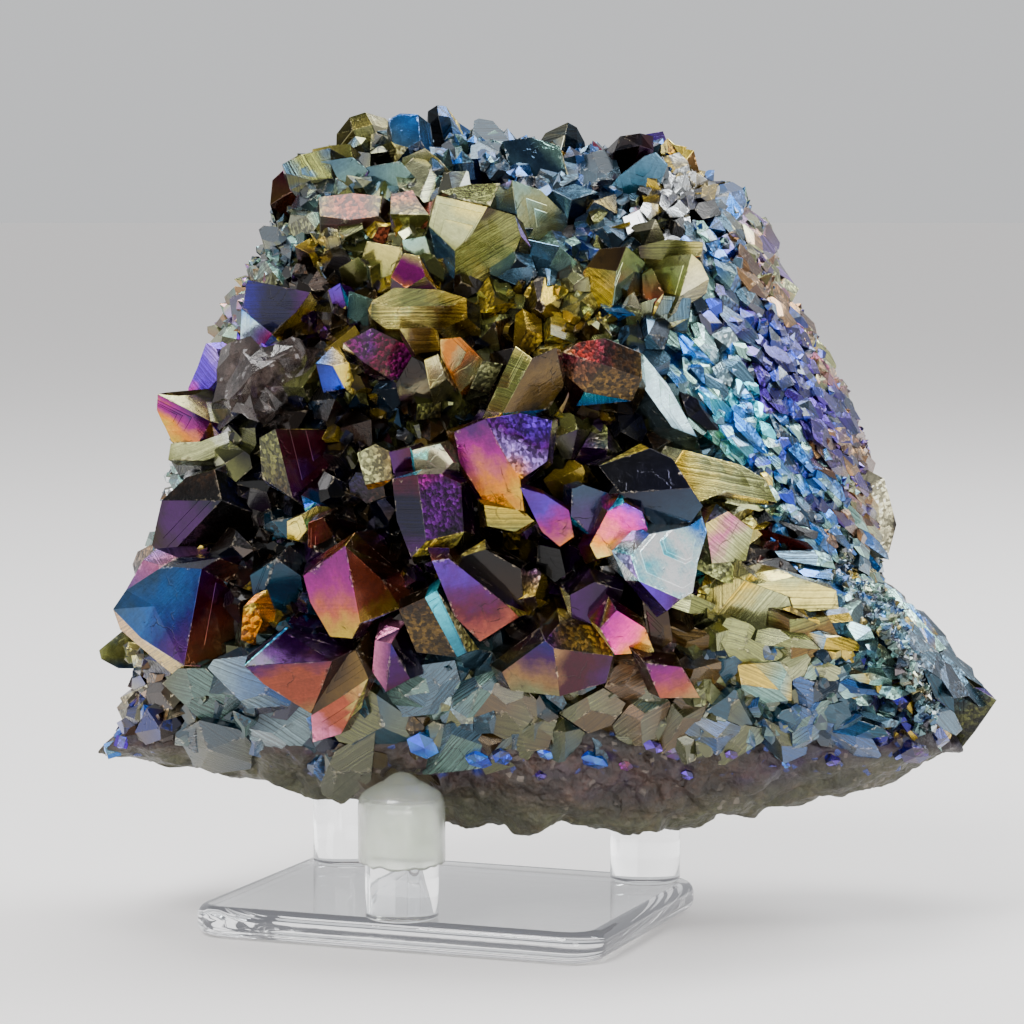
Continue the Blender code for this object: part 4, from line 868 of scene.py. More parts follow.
class Facets:
    """Gathers flat faces with their film colours, and makes them one mesh."""

    def __init__(self):
        self.points = []
        self.faces = []
        self.stops = []
        self.kinds = []
        self.along = []
        self.inward = []
        self.grain = []

    def add_points(self, points):
        first = len(self.points)
        self.points.extend(tuple(point) for point in points)
        return first

    def add_face(self, ring, finish, shift=0.0, whole=False):
        """One face, a ring of point numbers, with its finish run over its own width.

        A broad face is cut into triangles round its middle, and each corner holds how far it
        lies in from the face's edge, in mm."""
        stops, angle, kind = finish
        way = (math.cos(math.radians(angle)), -math.sin(math.radians(angle)))
        corners = [Vector(self.points[number]) for number in ring]
        ring = tuple(ring)
        middle = sum(corners, Vector()) / len(corners)
        inmost = min((middle - geometry.intersect_point_line(middle, a, b)[0]).length
                     for a, b in zip(corners, corners[1:] + corners[:1])) / MM
        rings, reaches = [ring], {}
        if inmost > BROAD and not whole:
            centre = self.add_points([middle])
            corners.append(middle)
            reaches[centre] = inmost
            rings = [(a, b, centre) for a, b in zip(ring, ring[1:] + ring[:1])]
        seen = [seen_at(corner) for corner in corners]
        runs = [u * way[0] + v * way[1] for u, v in seen]
        sides = [u * -way[1] + v * way[0] for u, v in seen]
        low, high = min(runs), max(runs)
        width = max(high - low, 1e-6)
        held = {number: (run, side) for number, run, side in zip(ring + tuple(reaches), runs, sides)}
        for part in rings:
            self.faces.append(part)
            self.stops.append(stops)
            self.kinds.append(kind)
            for number in part:
                run, side = held[number]
                self.along.append((run - low) / width + shift)
                self.inward.append(reaches.get(number, 0.0) if reaches else BROAD)
                across, down = (side, run) if kind == "t" else (run, side)
                self.grain.append((across / UNITS_PER_MM, down / UNITS_PER_MM))

    def make(self, name, finish):
        mesh = bpy.data.meshes.new(name)
        mesh.from_pydata(self.points, [], self.faces)
        for number in range(4):
            layer = mesh.attributes.new(f"film_{number}", "FLOAT_COLOR", "CORNER")
            values = []
            for face, stops in zip(self.faces, self.stops):
                values.extend((*stops[number], 1.0) * len(face))
            layer.data.foreach_set("color", values)
        for attribute, numbers in (("along", self.along), ("inward", self.inward)):
            layer = mesh.attributes.new(attribute, "FLOAT", "CORNER")
            layer.data.foreach_set("value", numbers)
        for attribute, letters in (("lines", "st"), ("rough", "r")):
            layer = mesh.attributes.new(attribute, "FLOAT", "CORNER")
            values = []
            for face, kind in zip(self.faces, self.kinds):
                values.extend((1.0 if kind and kind in letters else 0.0,) * len(face))
            layer.data.foreach_set("value", values)
        grain = mesh.uv_layers.new(name="grain")
        grain.data.foreach_set("uv", [number for pair in self.grain for number in pair])
        bm = bmesh.new()
        bm.from_mesh(mesh)
        bmesh.ops.delete(bm, geom=[vert for vert in bm.verts if not vert.link_faces], context="VERTS")
        bmesh.ops.recalc_face_normals(bm, faces=bm.faces)
        bm.to_mesh(mesh)
        bm.free()
        return place_mesh(name, mesh, finish)


# ---------------------------------------------------------------- main crystals
def flatten(points, faces):
    """Moves the corners in depth until each drawn face lies in one plane."""
    for _ in range(60):
        moved = {letter: [] for letter in points}
        for word in faces:
            ring = [points[letter] for letter in word]
            middle = sum(ring, Vector()) / len(ring)
            normal = Vector()
            for a, b in zip(ring, ring[1:] + ring[:1]):
                normal += (a - middle).cross(b - middle)
            for letter, corner in zip(word, ring):
                slip = (corner - middle).dot(normal) / normal.y
                moved[letter].append(corner.y - slip)
        for letter, depths in moved.items():
            if depths:
                points[letter].y = sum(depths) / len(depths)
    return points


def crystal_corners(row):
    """The corners of one drawn crystal, in space."""
    proud, drop, tips, words, sheet, _ = row
    seen = dict(zip(LETTERS, sheet))
    tip_depth = min(mound_depth(*seen[tip]) for tip in tips) - proud
    glassy = sum(v for _, v in sheet) / len(sheet) > GLASSY_TOP and sheet[0][0] < LOBE_LEFT
    points = {}
    for letter, (u, v) in seen.items():
        away = min(math.hypot(u - seen[t][0], v - seen[t][1]) for t in tips) / UNITS_PER_MM
        depth = tip_depth + drop * away
        if glassy:
            depth = mound_depth(u, v) - 0.8 * proud + 0.4 * drop * away
        points[letter] = at(u, v, depth * MM)
    faces = words.split()
    return flatten(points, faces), faces


def face_normal(ring):
    normal = Vector()
    for a, b in zip(ring, ring[1:] + ring[:1]):
        normal += a.cross(b)
    return normal.normalized()


def add_slab(facets, ring, normal, height, finish, shift=0.0):
    """A thin closed step standing on a face."""
    count = len(ring)
    low = facets.add_points([corner - normal * height for corner in ring])
    high = facets.add_points([corner + normal * height for corner in ring])
    facets.add_face(range(high, high + count), finish, shift, whole=True)
    facets.add_face(range(low + count - 1, low - 1, -1), finish, shift, whole=True)
    # The step's sides take its first colour a fifth darker: painted shade on the sides.
    edge = (shaded(finish[0], 0.8), finish[1], "")
    for number in range(count):
        following = (number + 1) % count
        facets.add_face((low + number, low + following, high + following, high + number), edge, shift)


def add_steps(facets, draw, ring, finish):
    """Growth steps: smaller copies of a face, each a little proud of it."""
    normal = face_normal(ring)
    if normal.y > 0:
        ring = ring[::-1]
        normal = -normal
    middle = sum(ring, Vector()) / len(ring)
    size = max((corner - middle).length for corner in ring)
    if size < 1.6 * MM or draw.random() < 0.7:
        return
    anchor = ring[draw.randrange(len(ring))]
    share = 1.0
    for level in range(draw.randint(1, 3 if size > 4 * MM else 2)):
        share *= draw.uniform(0.6, 0.92)
        step = [anchor + (corner - anchor) * share for corner in ring]
        stops, angle, kind = finish
        tone = (shaded(stops, draw.uniform(0.85, 1.12)), angle, kind)
        height = (level + 1) * STEP_HEIGHT
        add_slab(facets, step, normal, height, tone, draw.uniform(-0.04, 0.04))


def add_crystal(facets, draw, row):
    """A closed crystal: its drawn faces in front, straight sides, a root in the mound."""
    points, words = crystal_corners(row)
    middle = sum(points.values(), Vector()) / len(points)
    root = (CORE - middle).normalized()
    length = min(ROOT_LENGTH, (CORE - middle).length * 0.7)
    letters = list(points)
    first = facets.add_points(points.values())
    centre = middle + root * length
    size = max((point - middle).length for point in points.values())
    flare = 1 + SKIRT_WIDTH / size
    foot = middle + root * SKIRT_DEPTH
    skirt = facets.add_points([foot + (point - middle) * flare * draw.uniform(0.95, 1.05)
                               for point in points.values()])
    back = facets.add_points([centre + (point - middle) * 0.8 for point in points.values()])
    numbers = {letter: first + index for index, letter in enumerate(letters)}
    low, shift = skirt - first, back - first
    finishes = [read_finish(text) for text in row[5]]
    rims = {}
    for index, word in enumerate(words):
        ring = [numbers[letter] for letter in word]
        corners = [points[letter] for letter in word]
        if face_normal(corners).y > 0:
            ring.reverse()
        finish = finishes[index % len(finishes)]
        facets.add_face(ring, finish)
        facets.add_face([number + shift for number in reversed(ring)], finish, whole=True)
        add_steps(facets, draw, corners, finish)
        for a, b in zip(ring, ring[1:] + ring[:1]):
            rims[(a, b)] = finish
    for (a, b), finish in rims.items():
        if (b, a) not in rims:
            # The skirt's sides take the face's film in a painted shade, darker down in the gaps between the
            # crystals.
            tone = draw.choice(SIDE_PAINTED_SHADES)
            side = (shaded(finish[0], tone), draw.uniform(0, 360), draw.choice(("", "s", "t")))
            painted_glint_sliver = side
            # Some slivers take a bright film instead: a painted glint along the crystal's edge.
            if draw.random() < PAINTED_GLINT_SHARE:
                painted_glint_sliver = (read_finish(draw.choice(PAINTED_GLINT_FILMS))[0], draw.uniform(0, 360), draw.choice("tr"))
            facets.add_face((b, a, a + low), painted_glint_sliver)
            facets.add_face((b, a + low, b + low), side)
            facets.add_face((b + low, a + low, a + shift, b + shift), side, whole=True)


# ---------------------------------------------------------------- small crystals
# How far the painted shades of neighbouring faces are brought together, and the painted shade that they are
# brought to.
BAND_CALM = (1.0, 0.84)
FLANK_CALM = (0.55, 0.62)


def random_way(draw):
    return Vector((draw.uniform(-1, 1), draw.uniform(-1, 1), draw.uniform(-1, 1)))


def nearest_zone(u, v):
    key = (round(u / 6), round(v / 6))
    if key not in NEAREST:
        NEAREST[key] = min(ZONES, key=lambda zone: (zone[0] - key[0] * 6) ** 2 + (zone[1] - key[1] * 6) ** 2)
    return NEAREST[key]


def zone_colours(draw, u, v):
    return nearest_zone(u + draw.gauss(0, 9), v + draw.gauss(0, 9))[3].split()


def zone_radius(u, v):
    return nearest_zone(u, v)[2]


def point_finish(draw, colours, run=None, calm=None):
    """The finish of one face of a small crystal, with lines along `run` where there is one."""
    a, b = draw.choice(colours), draw.choice(colours)
    # Most faces take a random shade; six in a hundred are made twice as bright, a painted glint, and one in
    # five dark, a painted dark reflection.
    painted_glint = draw.random()
    shade = draw.uniform(0.55, 1.1)
    if painted_glint > 0.94:
        shade = 2.0
    elif painted_glint < 0.2:
        shade = 0.3
    if calm:
        share, level = calm
        shade += share * (level + 0.16 * min(shade, 1.4) - shade)
    stops, _, _ = read_finish(a + " " + b)
    if run is not None:
        kinds = "tttt" if calm == BAND_CALM else "tttr"
        return shaded(stops, 0.6 + 0.4 * shade), run + draw.uniform(-12, 12), draw.choice(kinds)
    return shaded(stops, shade), draw.uniform(0, 360), draw.choice(("", "", "s", "r"))


def add_point(facets, draw, place, axis, run, radius, length, squash=1.0, lean=0.0, shoulder=0.35,
              colours=()):
    """A small six-sided crystal on `axis`, its broad side along `run`, rooted below `place`."""
    across = axis.cross(run).normalized()
    along = across.cross(axis)
    sides = 6
    rings = []
    for height in (-radius, length * shoulder):
        ring = []
        for number in range(sides):
            angle = 2 * math.pi * number / sides
            corner = along * math.cos(angle) + across * math.sin(angle) * squash
            ring.append(place + corner * radius + axis * height)
        rings.append(facets.add_points(ring))
    tip = facets.add_points([place + along * radius * lean + axis * length])
    low, high = rings
    for number in range(sides):
        following = (number + 1) % sides
        wall = (low + number, low + following, high + following, high + number)
        facets.add_face(wall, point_finish(draw, colours))
        facets.add_face((high + number, high + following, tip), point_finish(draw, colours))
    facets.add_face(range(low + sides - 1, low - 1, -1), point_finish(draw, colours))


def scatter(draw, spot, box, spacing_at, tries):
    """Points in a box of the sheet `spot` draws on, no closer than their own spacing."""
    grid, found = {}, []
    for _ in range(tries):
        s, t = draw.uniform(box[0], box[1]), draw.uniform(box[2], box[3])
        u, v = spot(s, t)
        reach = spacing_at(u, v) * draw.uniform(0.7, 1.3)
        column, row = math.floor(s / WIDEST), math.floor(t / WIDEST)
        near = [other for dx in (-1, 0, 1) for dy in (-1, 0, 1)
                for other in grid.get((column + dx, row + dy), ())]
        if all(math.hypot(s - x, t - y) > (reach + r) / 2 for x, y, r in near):
            grid.setdefault((column, row), []).append((s, t, reach))
            found.append((s, t))
    return found


def circle_middle(a, b, c):
    d = 2 * (a.x * (b.y - c.y) + b.x * (c.y - a.y) + c.x * (a.y - b.y))
    if abs(d) < 1e-9:
        return None
    x = (a.length_squared * (b.y - c.y) + b.length_squared * (c.y - a.y) + c.length_squared * (a.y - b.y)) / d
    y = (a.length_squared * (c.x - b.x) + b.length_squared * (a.x - c.x) + c.length_squared * (b.x - a.x)) / d
    return Vector((x, y))


def cells(points):
    """Each point with the corners of the cell that is nearer to it than to any other."""
    seeds = [Vector(point) for point in points]
    verts, _, triangles, *_ = geometry.delaunay_2d_cdt(seeds, [], [], 0, 1e-6)
    around = {number: [] for number in range(len(verts))}
    for triangle in triangles:
        middle = circle_middle(*(verts[number] for number in triangle))
        if middle is not None:
            for number in triangle:
                around[number].append(middle)
    for number, middles in around.items():
        seed = verts[number]
        if len(middles) > 3 and all((middle - seed).length < 2 * WIDEST for middle in middles):
            middles.sort(key=lambda middle: math.atan2(middle.y - seed.y, middle.x - seed.x))
            yield seed, middles


def clipped(ring, side):
    """The part of a ring of points where side(point) is above zero."""
    kept = []
    for a, b in zip(ring, ring[1:] + ring[:1]):
        at_a, at_b = side(a), side(b)
        if at_a >= 0:
            kept.append(a)
        if (at_a >= 0) != (at_b >= 0):
            kept.append(a.lerp(b, at_a / (at_a - at_b)))
    return kept


def mound_slope(u, v):
    """How the mound's depth changes across and down, in mm for one unit."""
    step = 5.0
    across = (mound_depth(u + step, v) - mound_depth(u - step, v)) / (2 * step)
    down = (mound_depth(u, v + step) - mound_depth(u, v - step)) / (2 * step)
    slope = Vector((across, down))
    return slope * min(1.0, STEEPEST / max(slope.length, 1e-6))


def edge_distance(ring, spot, way):
    """How far the ring of a cell lies from a spot in it, along `way`."""
    nearest = 4 * WIDEST
    for a, b in zip(ring, ring[1:] + ring[:1]):
        side = b - a
        cross = way.x * side.y - way.y * side.x
        if abs(cross) < 1e-9:
            continue
        gap = a - spot
        distance = (gap.x * side.y - gap.y * side.x) / cross
        along = (gap.x * way.y - gap.y * way.x) / cross
        if distance > 0 and -0.01 <= along <= 1.01:
            nearest = min(nearest, distance)
    return nearest


def add_cell(facets, draw, seed, ring, proud, colours, drop, run, calm):
    """A crystal tip that fills its cell: three to five flat faces that fall to the valleys round it."""
    radius = sum((corner - seed).length for corner in ring) / len(ring)
    apex = seed + Vector((draw.uniform(-0.4, 0.4), draw.uniform(-0.4, 0.4))) * radius
    slope = mound_slope(*seed)
    floor = mound_depth(*seed) - proud
    count = draw.choice((3, 3, 4, 5))
    first = draw.uniform(0, 2 * math.pi)
    planes = []
    fall = drop * radius / UNITS_PER_MM
    for number in range(count):
        angle = first + 2 * math.pi * (number + draw.uniform(-0.25, 0.25)) / count
        way = Vector((math.cos(angle), math.sin(angle)))
        steep = fall * draw.uniform(0.8, 1.3) / max(edge_distance(ring, apex, way), 0.2 * radius)
        planes.append((way * steep, 0.0))
    if draw.random() < 0.25:
        tilt = Vector((draw.uniform(-1, 1), draw.uniform(-1, 1))) * 0.2 / UNITS_PER_MM
        planes.append((tilt, draw.uniform(0.15, 0.4) * fall))
    own = [draw.choice(colours), draw.choice(colours)]
    numbers, rims, tops = {}, {}, []
    ring = [seed + (corner - seed) * CELL_FILL for corner in ring]
    for mine, (lean, rise) in enumerate(planes):
        face = list(ring)
        for other, (lean2, rise2) in enumerate(planes):
            if other != mine and len(face) > 2:
                face = clipped(face, lambda p: (lean - lean2).dot(p - apex) + rise - rise2)
        if len(face) < 3:
            continue
        points = []
        for spot in face:
            key = (round(spot.x, 1), round(spot.y, 1))
            if key not in numbers:
                depth = floor + slope.dot(spot - seed) + rise + lean.dot(spot - apex)
                numbers[key] = facets.add_points([at(spot.x, spot.y, depth * MM)])
            if numbers[key] not in points:
                points.append(numbers[key])
        if len(points) < 3:
            continue
        if face_normal([Vector(facets.points[number]) for number in points]).y > 0:
            points.reverse()
        finish = point_finish(draw, own, run, calm)
        facets.add_face(points, finish)
        tops.append(points)
        for a, b in zip(points, points[1:] + points[:1]):
            rims[(a, b)] = finish
    if not numbers:
        return
    middle = at(seed.x, seed.y, floor * MM)
    root = (CORE - middle).normalized() * (proud + 2.0) * MM
    below = {}
    for number in numbers.values():
        point = Vector(facets.points[number])
        below[number] = facets.add_points([middle + (point - middle) * 0.9 + root])
    for (a, b), finish in list(rims.items()):
        if (b, a) not in rims:
            # The open sides take the film in a painted shade, darkest in the grooves between the cells and
            # lighter where the shades are calmed.
            side = (shaded(finish[0], draw.uniform(0.05, 0.3) + (0.25 * calm[0] if calm else 0.0)), 0.0, "")
            facets.add_face((b, a, below[a], below[b]), side, whole=True)
    for points in tops:
        facets.add_face([below[number] for number in reversed(points)], side, whole=True)


def add_mosaic(facets, seed_number, angle, stretch, keep, shrink, proud, drop, calm):
    """Crystal tips that fill the mound's front where `keep` holds, drawn out along `angle`."""
    draw = random.Random(seed_number)
    turn = math.radians(angle)
    way = Vector((math.cos(turn), math.sin(turn)))
    side = Vector((-way.y, way.x))
    middle = Vector(MOUND_MIDDLE)

    def spot(s, t):
        return middle + way * s * stretch + side * t

    def spacing_at(u, v):
        return 2 * UNITS_PER_MM * shrink * zone_radius(u, v) / math.sqrt(stretch)

    half = MOSAIC_REACH / stretch
    points = scatter(draw, spot, (-half, half, -MOSAIC_REACH, MOSAIC_REACH), spacing_at, MOSAIC_TRIES)
    for seed, corners in cells(points):
        u, v = spot(*seed)
        if not inside(u, v, MOUND_OUTLINE) or not keep(u, v) or (calm != BAND_CALM and buried(u, v)):
            continue
        ring = [spot(*corner) for corner in corners]
        height = settled(u, v, draw.uniform(*proud))
        colours = zone_colours(draw, u, v)
        fall = draw.uniform(*drop) * (0.2 if inside(u, v, SMOOTH_EDGE) else 1.0)
        run = -angle if stretch > 1.5 else None
        add_cell(facets, draw, spot(*seed), ring, height, colours, fall, run, calm)


def settled(u, v, proud):
    """Cells lie low under the lobe's druse, and flush along its smooth outer edge."""
    if inside(u, v, SMOOTH_EDGE):
        return 0.1 * proud
    return proud - LOBE_SINK if on_lobe(u, v) else proud


def buried(u, v):
    """Whether a cell at (u, v) would stand wholly behind a drawn crystal."""
    reach = 9
    return all(covered(u + x, v + y) for x, y in ((0, 0), (reach, 0), (-reach, 0), (0, reach), (0, -reach)))


def on_face(u, v):
    return not on_flank(u, v) and v < MATRIX_TOP and not in_glassy_band(u, v)


def in_glassy_band(u, v):
    """The broken glassy band above the matrix."""
    return 185 < u < 860 and between(BAND_TOP, u) < v < between(BAND_FOOT, u)


def on_terraces(u, v):
    """The low gold and mint steps between the great pale face and the flank."""
    return on_face(u, v) and u > 680 and v > 500


def on_side(u, v):
    return on_flank(u, v) and v < MATRIX_TOP


def add_lenses(facets):
    """Low glassy lenses of quartz, set in the matrix along its band."""
    draw = random.Random(CHIP_SEED)
    for u, v, radius, colours in LENSES:
        place = rock(at(u, v, mound_depth(u, v) * MM))
        normal = mound_normal(u, v)
        place -= normal * (0.4 + 0.35 * radius) * MM
        axis = (normal + random_way(draw) * 0.3).normalized()
        add_point(facets, draw, place, axis, Vector((1.0, 0.0, -0.4)), radius * MM, radius * 0.8 * MM,
                  squash=draw.uniform(0.5, 0.8), lean=draw.uniform(-0.3, 0.3), shoulder=0.8,
                  colours=colours.split())


def add_rim(facets):
    """Small crystals round the top and sides, where the front turns into the back."""
    draw = random.Random(RIM_SEED)
    for _ in range(RIM_COUNT):
        angle = draw.uniform(-38, 212)
        forward = draw.uniform(-0.6, 0.8)
        out = math.sqrt(1 - forward * forward)
        way = Vector((math.cos(math.radians(angle)) * out, forward, math.sin(math.radians(angle)) * out))
        place = mound_point(way)
        u, v = seen_at(place)
        if u > RIM_LAST_COLUMN and v > RIM_LAST_ROW:
            continue
        radius = zone_radius(u, v) * draw.uniform(0.6, 1.4) * MM
        axis = ((place - CORE).normalized() + random_way(draw) * 0.45).normalized()
        add_point(facets, draw, place - axis * radius * 0.8, axis, random_way(draw), radius,
                  radius * draw.uniform(1.2, 2.0), lean=draw.uniform(-0.6, 0.6),
                  shoulder=draw.uniform(0.2, 0.6), colours=zone_colours(draw, u, v))


# ---------------------------------------------------------------- matrix
def on_stand(x, y):
    return Matrix.Rotation(STAND_YAW, 3, "Z") @ Vector((x, y, 0.0))


def cap_height(away):
    """Height that clears the cap's dome at a distance from its middle."""
    share = min(1.0, away / (CAP_RADIUS + SEAT_CLEARANCE))
    return CAP_TIP + GAP - (CAP_TIP - CAP_SHOULDER) * share * share


def rod_height(away):
    return PEG_TOP + GAP


# Middle and radius of what the stone stays clear of, and the height that clears it.
SEATS = [(on_stand(*place), CAP_RADIUS + SEAT_CLEARANCE, cap_height) if name == "front" else
         (on_stand(*place), PEG_RADIUS + SEAT_CLEARANCE, rod_height) for name, place in PEG_PLACES.items()]


def clear_of_stand(point):
    """The same point, or one just above the rod or cap that it was in."""
    for place, radius, height_at in SEATS:
        away = math.hypot(point.x - place.x, point.y - place.y)
        if away < radius and point.z < height_at(away):
            return Vector((point.x, point.y, height_at(away)))
    return point


def pit(point):
    """How far into one of the matrix's pits a point is, from 0 to 1, and a number for that pit."""
    distances, centres = noise.voronoi(point * PIT_SCALE)
    depth = max(0.0, 1 - distances[0] / PIT_REACH)
    return depth, 0.5 + 0.5 * noise.noise(centres[0] * 9.7)


def matrix_bumps(point):
    """Rough lumps and pits of the matrix, in mm outwards."""
    lumps = noise.noise(point * 220) * 0.8 + noise.noise(point * 520) * 0.5
    depth, number = pit(point)
    pits = math.sqrt(depth) * (0.75 if number > 0.45 else 0.15)
    edge = max(0.0, band_of(point) - 1)
    return (lumps - pits) * (1 - 0.6 * edge) + noise.noise(point * 1300) * 0.22


def band_of(point):
    """0 above the matrix band of the front, 1 in it, and 2 at the stone's lower edge."""
    u, v = seen_at(point)
    angle = math.degrees(math.atan2(MOUND_MIDDLE[1] - v, u - MOUND_MIDDLE[0]))
    share = math.hypot(u - MOUND_MIDDLE[0], v - MOUND_MIDDLE[1]) / rim_reach(angle)
    in_band = unit((v - MATRIX_TOP + 10) / 25)
    return in_band + unit((share - 0.9) / RIM_BAND) * in_band


def matrix_colour(point):
    """Brown below and behind, film left in the pits, dark umber up among the crystals, and painted shade
    towards the right.
    """
    u, v = seen_at(point)
    soft = 0.5 + 0.5 * noise.noise(point * 190)
    fine = 0.5 + 0.5 * noise.noise(point * 700)
    brown = mixed(stop_colour("umber:.5"), stop_colour("tan:.26"), soft * fine)
    if point.y > mound_depth(u, v) * MM + 12 * MM:
        return mixed(brown, stop_colour("tan:.5"), 0.6 * soft)
    band = band_of(point)
    depth, number = pit(point)
    plum = stop_colour("plum:.4") if number < 0.5 else stop_colour("indigo:.5")
    rightward = unit((u - PLUM_FROM) / PLUM_WIDTH)
    patch = unit(2.2 * soft - 0.7 + 0.4 * rightward)
    low = mixed(brown, plum, (0.3 + 0.4 * rightward) * patch)
    # Painted shade: the rock is darkened towards the right by up to four tenths, and its lower edge by up to
    # a third.
    low = shaded([low], 1.0 - 0.4 * rightward)[0]
    if depth > 0.3 and number > 0.5 and v < BLUE_FOOT:
        blue = stop_colour("blue:.45") if number > 0.62 else stop_colour("plum:.4")
        low = mixed(low, blue, min(0.9, (depth - 0.3) * 2.5))
    edge = shaded([stop_colour("khaki:.2")], 1.0 - 0.35 * rightward)[0]
    low = mixed(low, mixed(edge, brown, 0.6 * fine), max(0.0, band - 1))
    return mixed(stop_colour("umber:.3"), low, min(1.0, band))


def sunk(point):
    """How far in mm the rock lies back behind the crystals of the front."""
    u, v = seen_at(point)
    behind = (point.y - mound_depth(u, v) * MM) / MM
    share = unit((MATRIX_TOP + 8 - v) / 16) * unit((14 - behind) / 6)
    return 3.0 * share


def make_matrix():
    """The rock that carries the crystals, finest along the front's lower band."""
    bm = bmesh.new()
    bmesh.ops.create_icosphere(bm, subdivisions=7, radius=1.0)
    fine = {}
    for face in bm.faces:
        way = face.calc_center_median().normalized()
        if way.y < 0.2 and seen_at(mound_point(way))[1] > MATRIX_TOP - 15:
            fine.update(dict.fromkeys(face.edges))
    bmesh.ops.subdivide_edges(bm, edges=list(fine), cuts=2, use_grid_fill=True)
    bmesh.ops.triangulate(bm, faces=[face for face in bm.faces if len(face.verts) > 3])
    colours, filmed = [], []
    for vert in bm.verts:
        surface = rock(mound_point(vert.co.normalized()))
        outward = (surface - CORE).normalized()
        vert.co = clear_of_stand(surface + outward * (matrix_bumps(surface) - 0.3 - sunk(surface)) * MM)
        colours.extend((*matrix_colour(vert.co), 1.0))
        filmed.append(1.0 if vert.co.y < 0 and seen_at(vert.co)[1] < BLUE_FOOT else 0.0)
    mesh = bpy.data.meshes.new("matrix")
    bm.to_mesh(mesh)
    bm.free()
    layer = mesh.attributes.new("film_0", "FLOAT_COLOR", "POINT")
    layer.data.foreach_set("color", colours)
    layer = mesh.attributes.new("filmed", "FLOAT", "POINT")
    layer.data.foreach_set("value", filmed)
    mesh.shade_smooth()
    return place_mesh("matrix", mesh, FINISHES["matrix_rock"])


def link_new(name, data):
    made = bpy.data.objects.new(name, data)
    bpy.context.scene.collection.objects.link(made)
    return made


def place_mesh(name, mesh, finish):
    mesh.materials.clear()
    mesh.materials.append(finish)
    return link_new(name, mesh)


# ---------------------------------------------------------------- druse
def make_patch(name, keep, spacing=5):
    """A sheet of the mound's front where `keep` holds, which druse grows on."""
    numbers, points, faces, colours = {}, [], [], []
    draw = random.Random(PATCH_SEED)
    for row in range(100, 860, spacing):
        for column in range(90, 1000, spacing):
            if inside(column, row, MOUND_OUTLINE) and keep(column, row):
                numbers[(column, row)] = len(points)
                point = rock(at(column, row, mound_depth(column, row) * MM))
                points.append(tuple(point))
                a, b = (stop_colour(draw.choice(zone_colours(draw, column, row))) for _ in range(2))
                colours.extend((*mixed(a, b, 0.5), 1.0))
    for column, row in numbers:
        ring = [numbers.get((column + dx, row + dy)) for dx, dy in
                ((0, 0), (0, spacing), (spacing, spacing), (spacing, 0))]
        if None not in ring:
            faces.append(ring)
    mesh = bpy.data.meshes.new(name)
    mesh.from_pydata(points, [], faces)
    layer = mesh.attributes.new("film_0", "FLOAT_COLOR", "POINT")
    layer.data.foreach_set("color", colours)
    return link_new(name, mesh)


class Wiring:
    """Adds nodes to a tree and joins them up."""

    def __init__(self, tree):
        self.tree = tree

    def add(self, kind, inputs=None, **settings):
        node = self.tree.nodes.new(kind)
        for setting, value in settings.items():
            setattr(node, setting, value)
        self.fill(node, inputs or {})
        return node

    def fill(self, node, inputs):
        """Joins or sets each named input of a node."""
        for key, value in inputs.items():
            self.join(value, node.inputs[key])

    def join(self, value, socket):
        if isinstance(value, bpy.types.NodeSocket):
            self.tree.links.new(value, socket)
        else:
            socket.default_value = value

    def math(self, operation, *values, clamp=False):
        node = self.add("ShaderNodeMath", dict(enumerate(values)), operation=operation)
        node.use_clamp = clamp
        return node.outputs[0]

    def mix(self, factor, a, b, blend="MIX"):
        node = self.add("ShaderNodeMix", data_type="RGBA", blend_type=blend)
        for value, socket in ((factor, node.inputs[0]), (a, node.inputs[6]), (b, node.inputs[7])):
            self.join(value, socket)
        return node.outputs[2]

    def scaled(self, colour, factor):
        node = self.add("ShaderNodeVectorMath", {0: colour, "Scale": factor}, operation="SCALE")
        return node.outputs[0]

    def eased(self, tone, share):
        """The tone where `share` is 1, and no change where it is 0."""
        return self.math("ADD", 1.0, self.math("MULTIPLY", share, self.math("SUBTRACT", tone, 1.0)))

    def relief(self, height, strength, distance):
        return self.add("ShaderNodeBump", {"Height": height, "Strength": strength,
                                           "Distance": distance}).outputs[0]

    def spread(self, value, low, high, new_low, new_high):
        node = self.add("ShaderNodeMapRange", {0: value, 1: low, 2: high, 3: new_low, 4: new_high})
        return node.outputs[0]


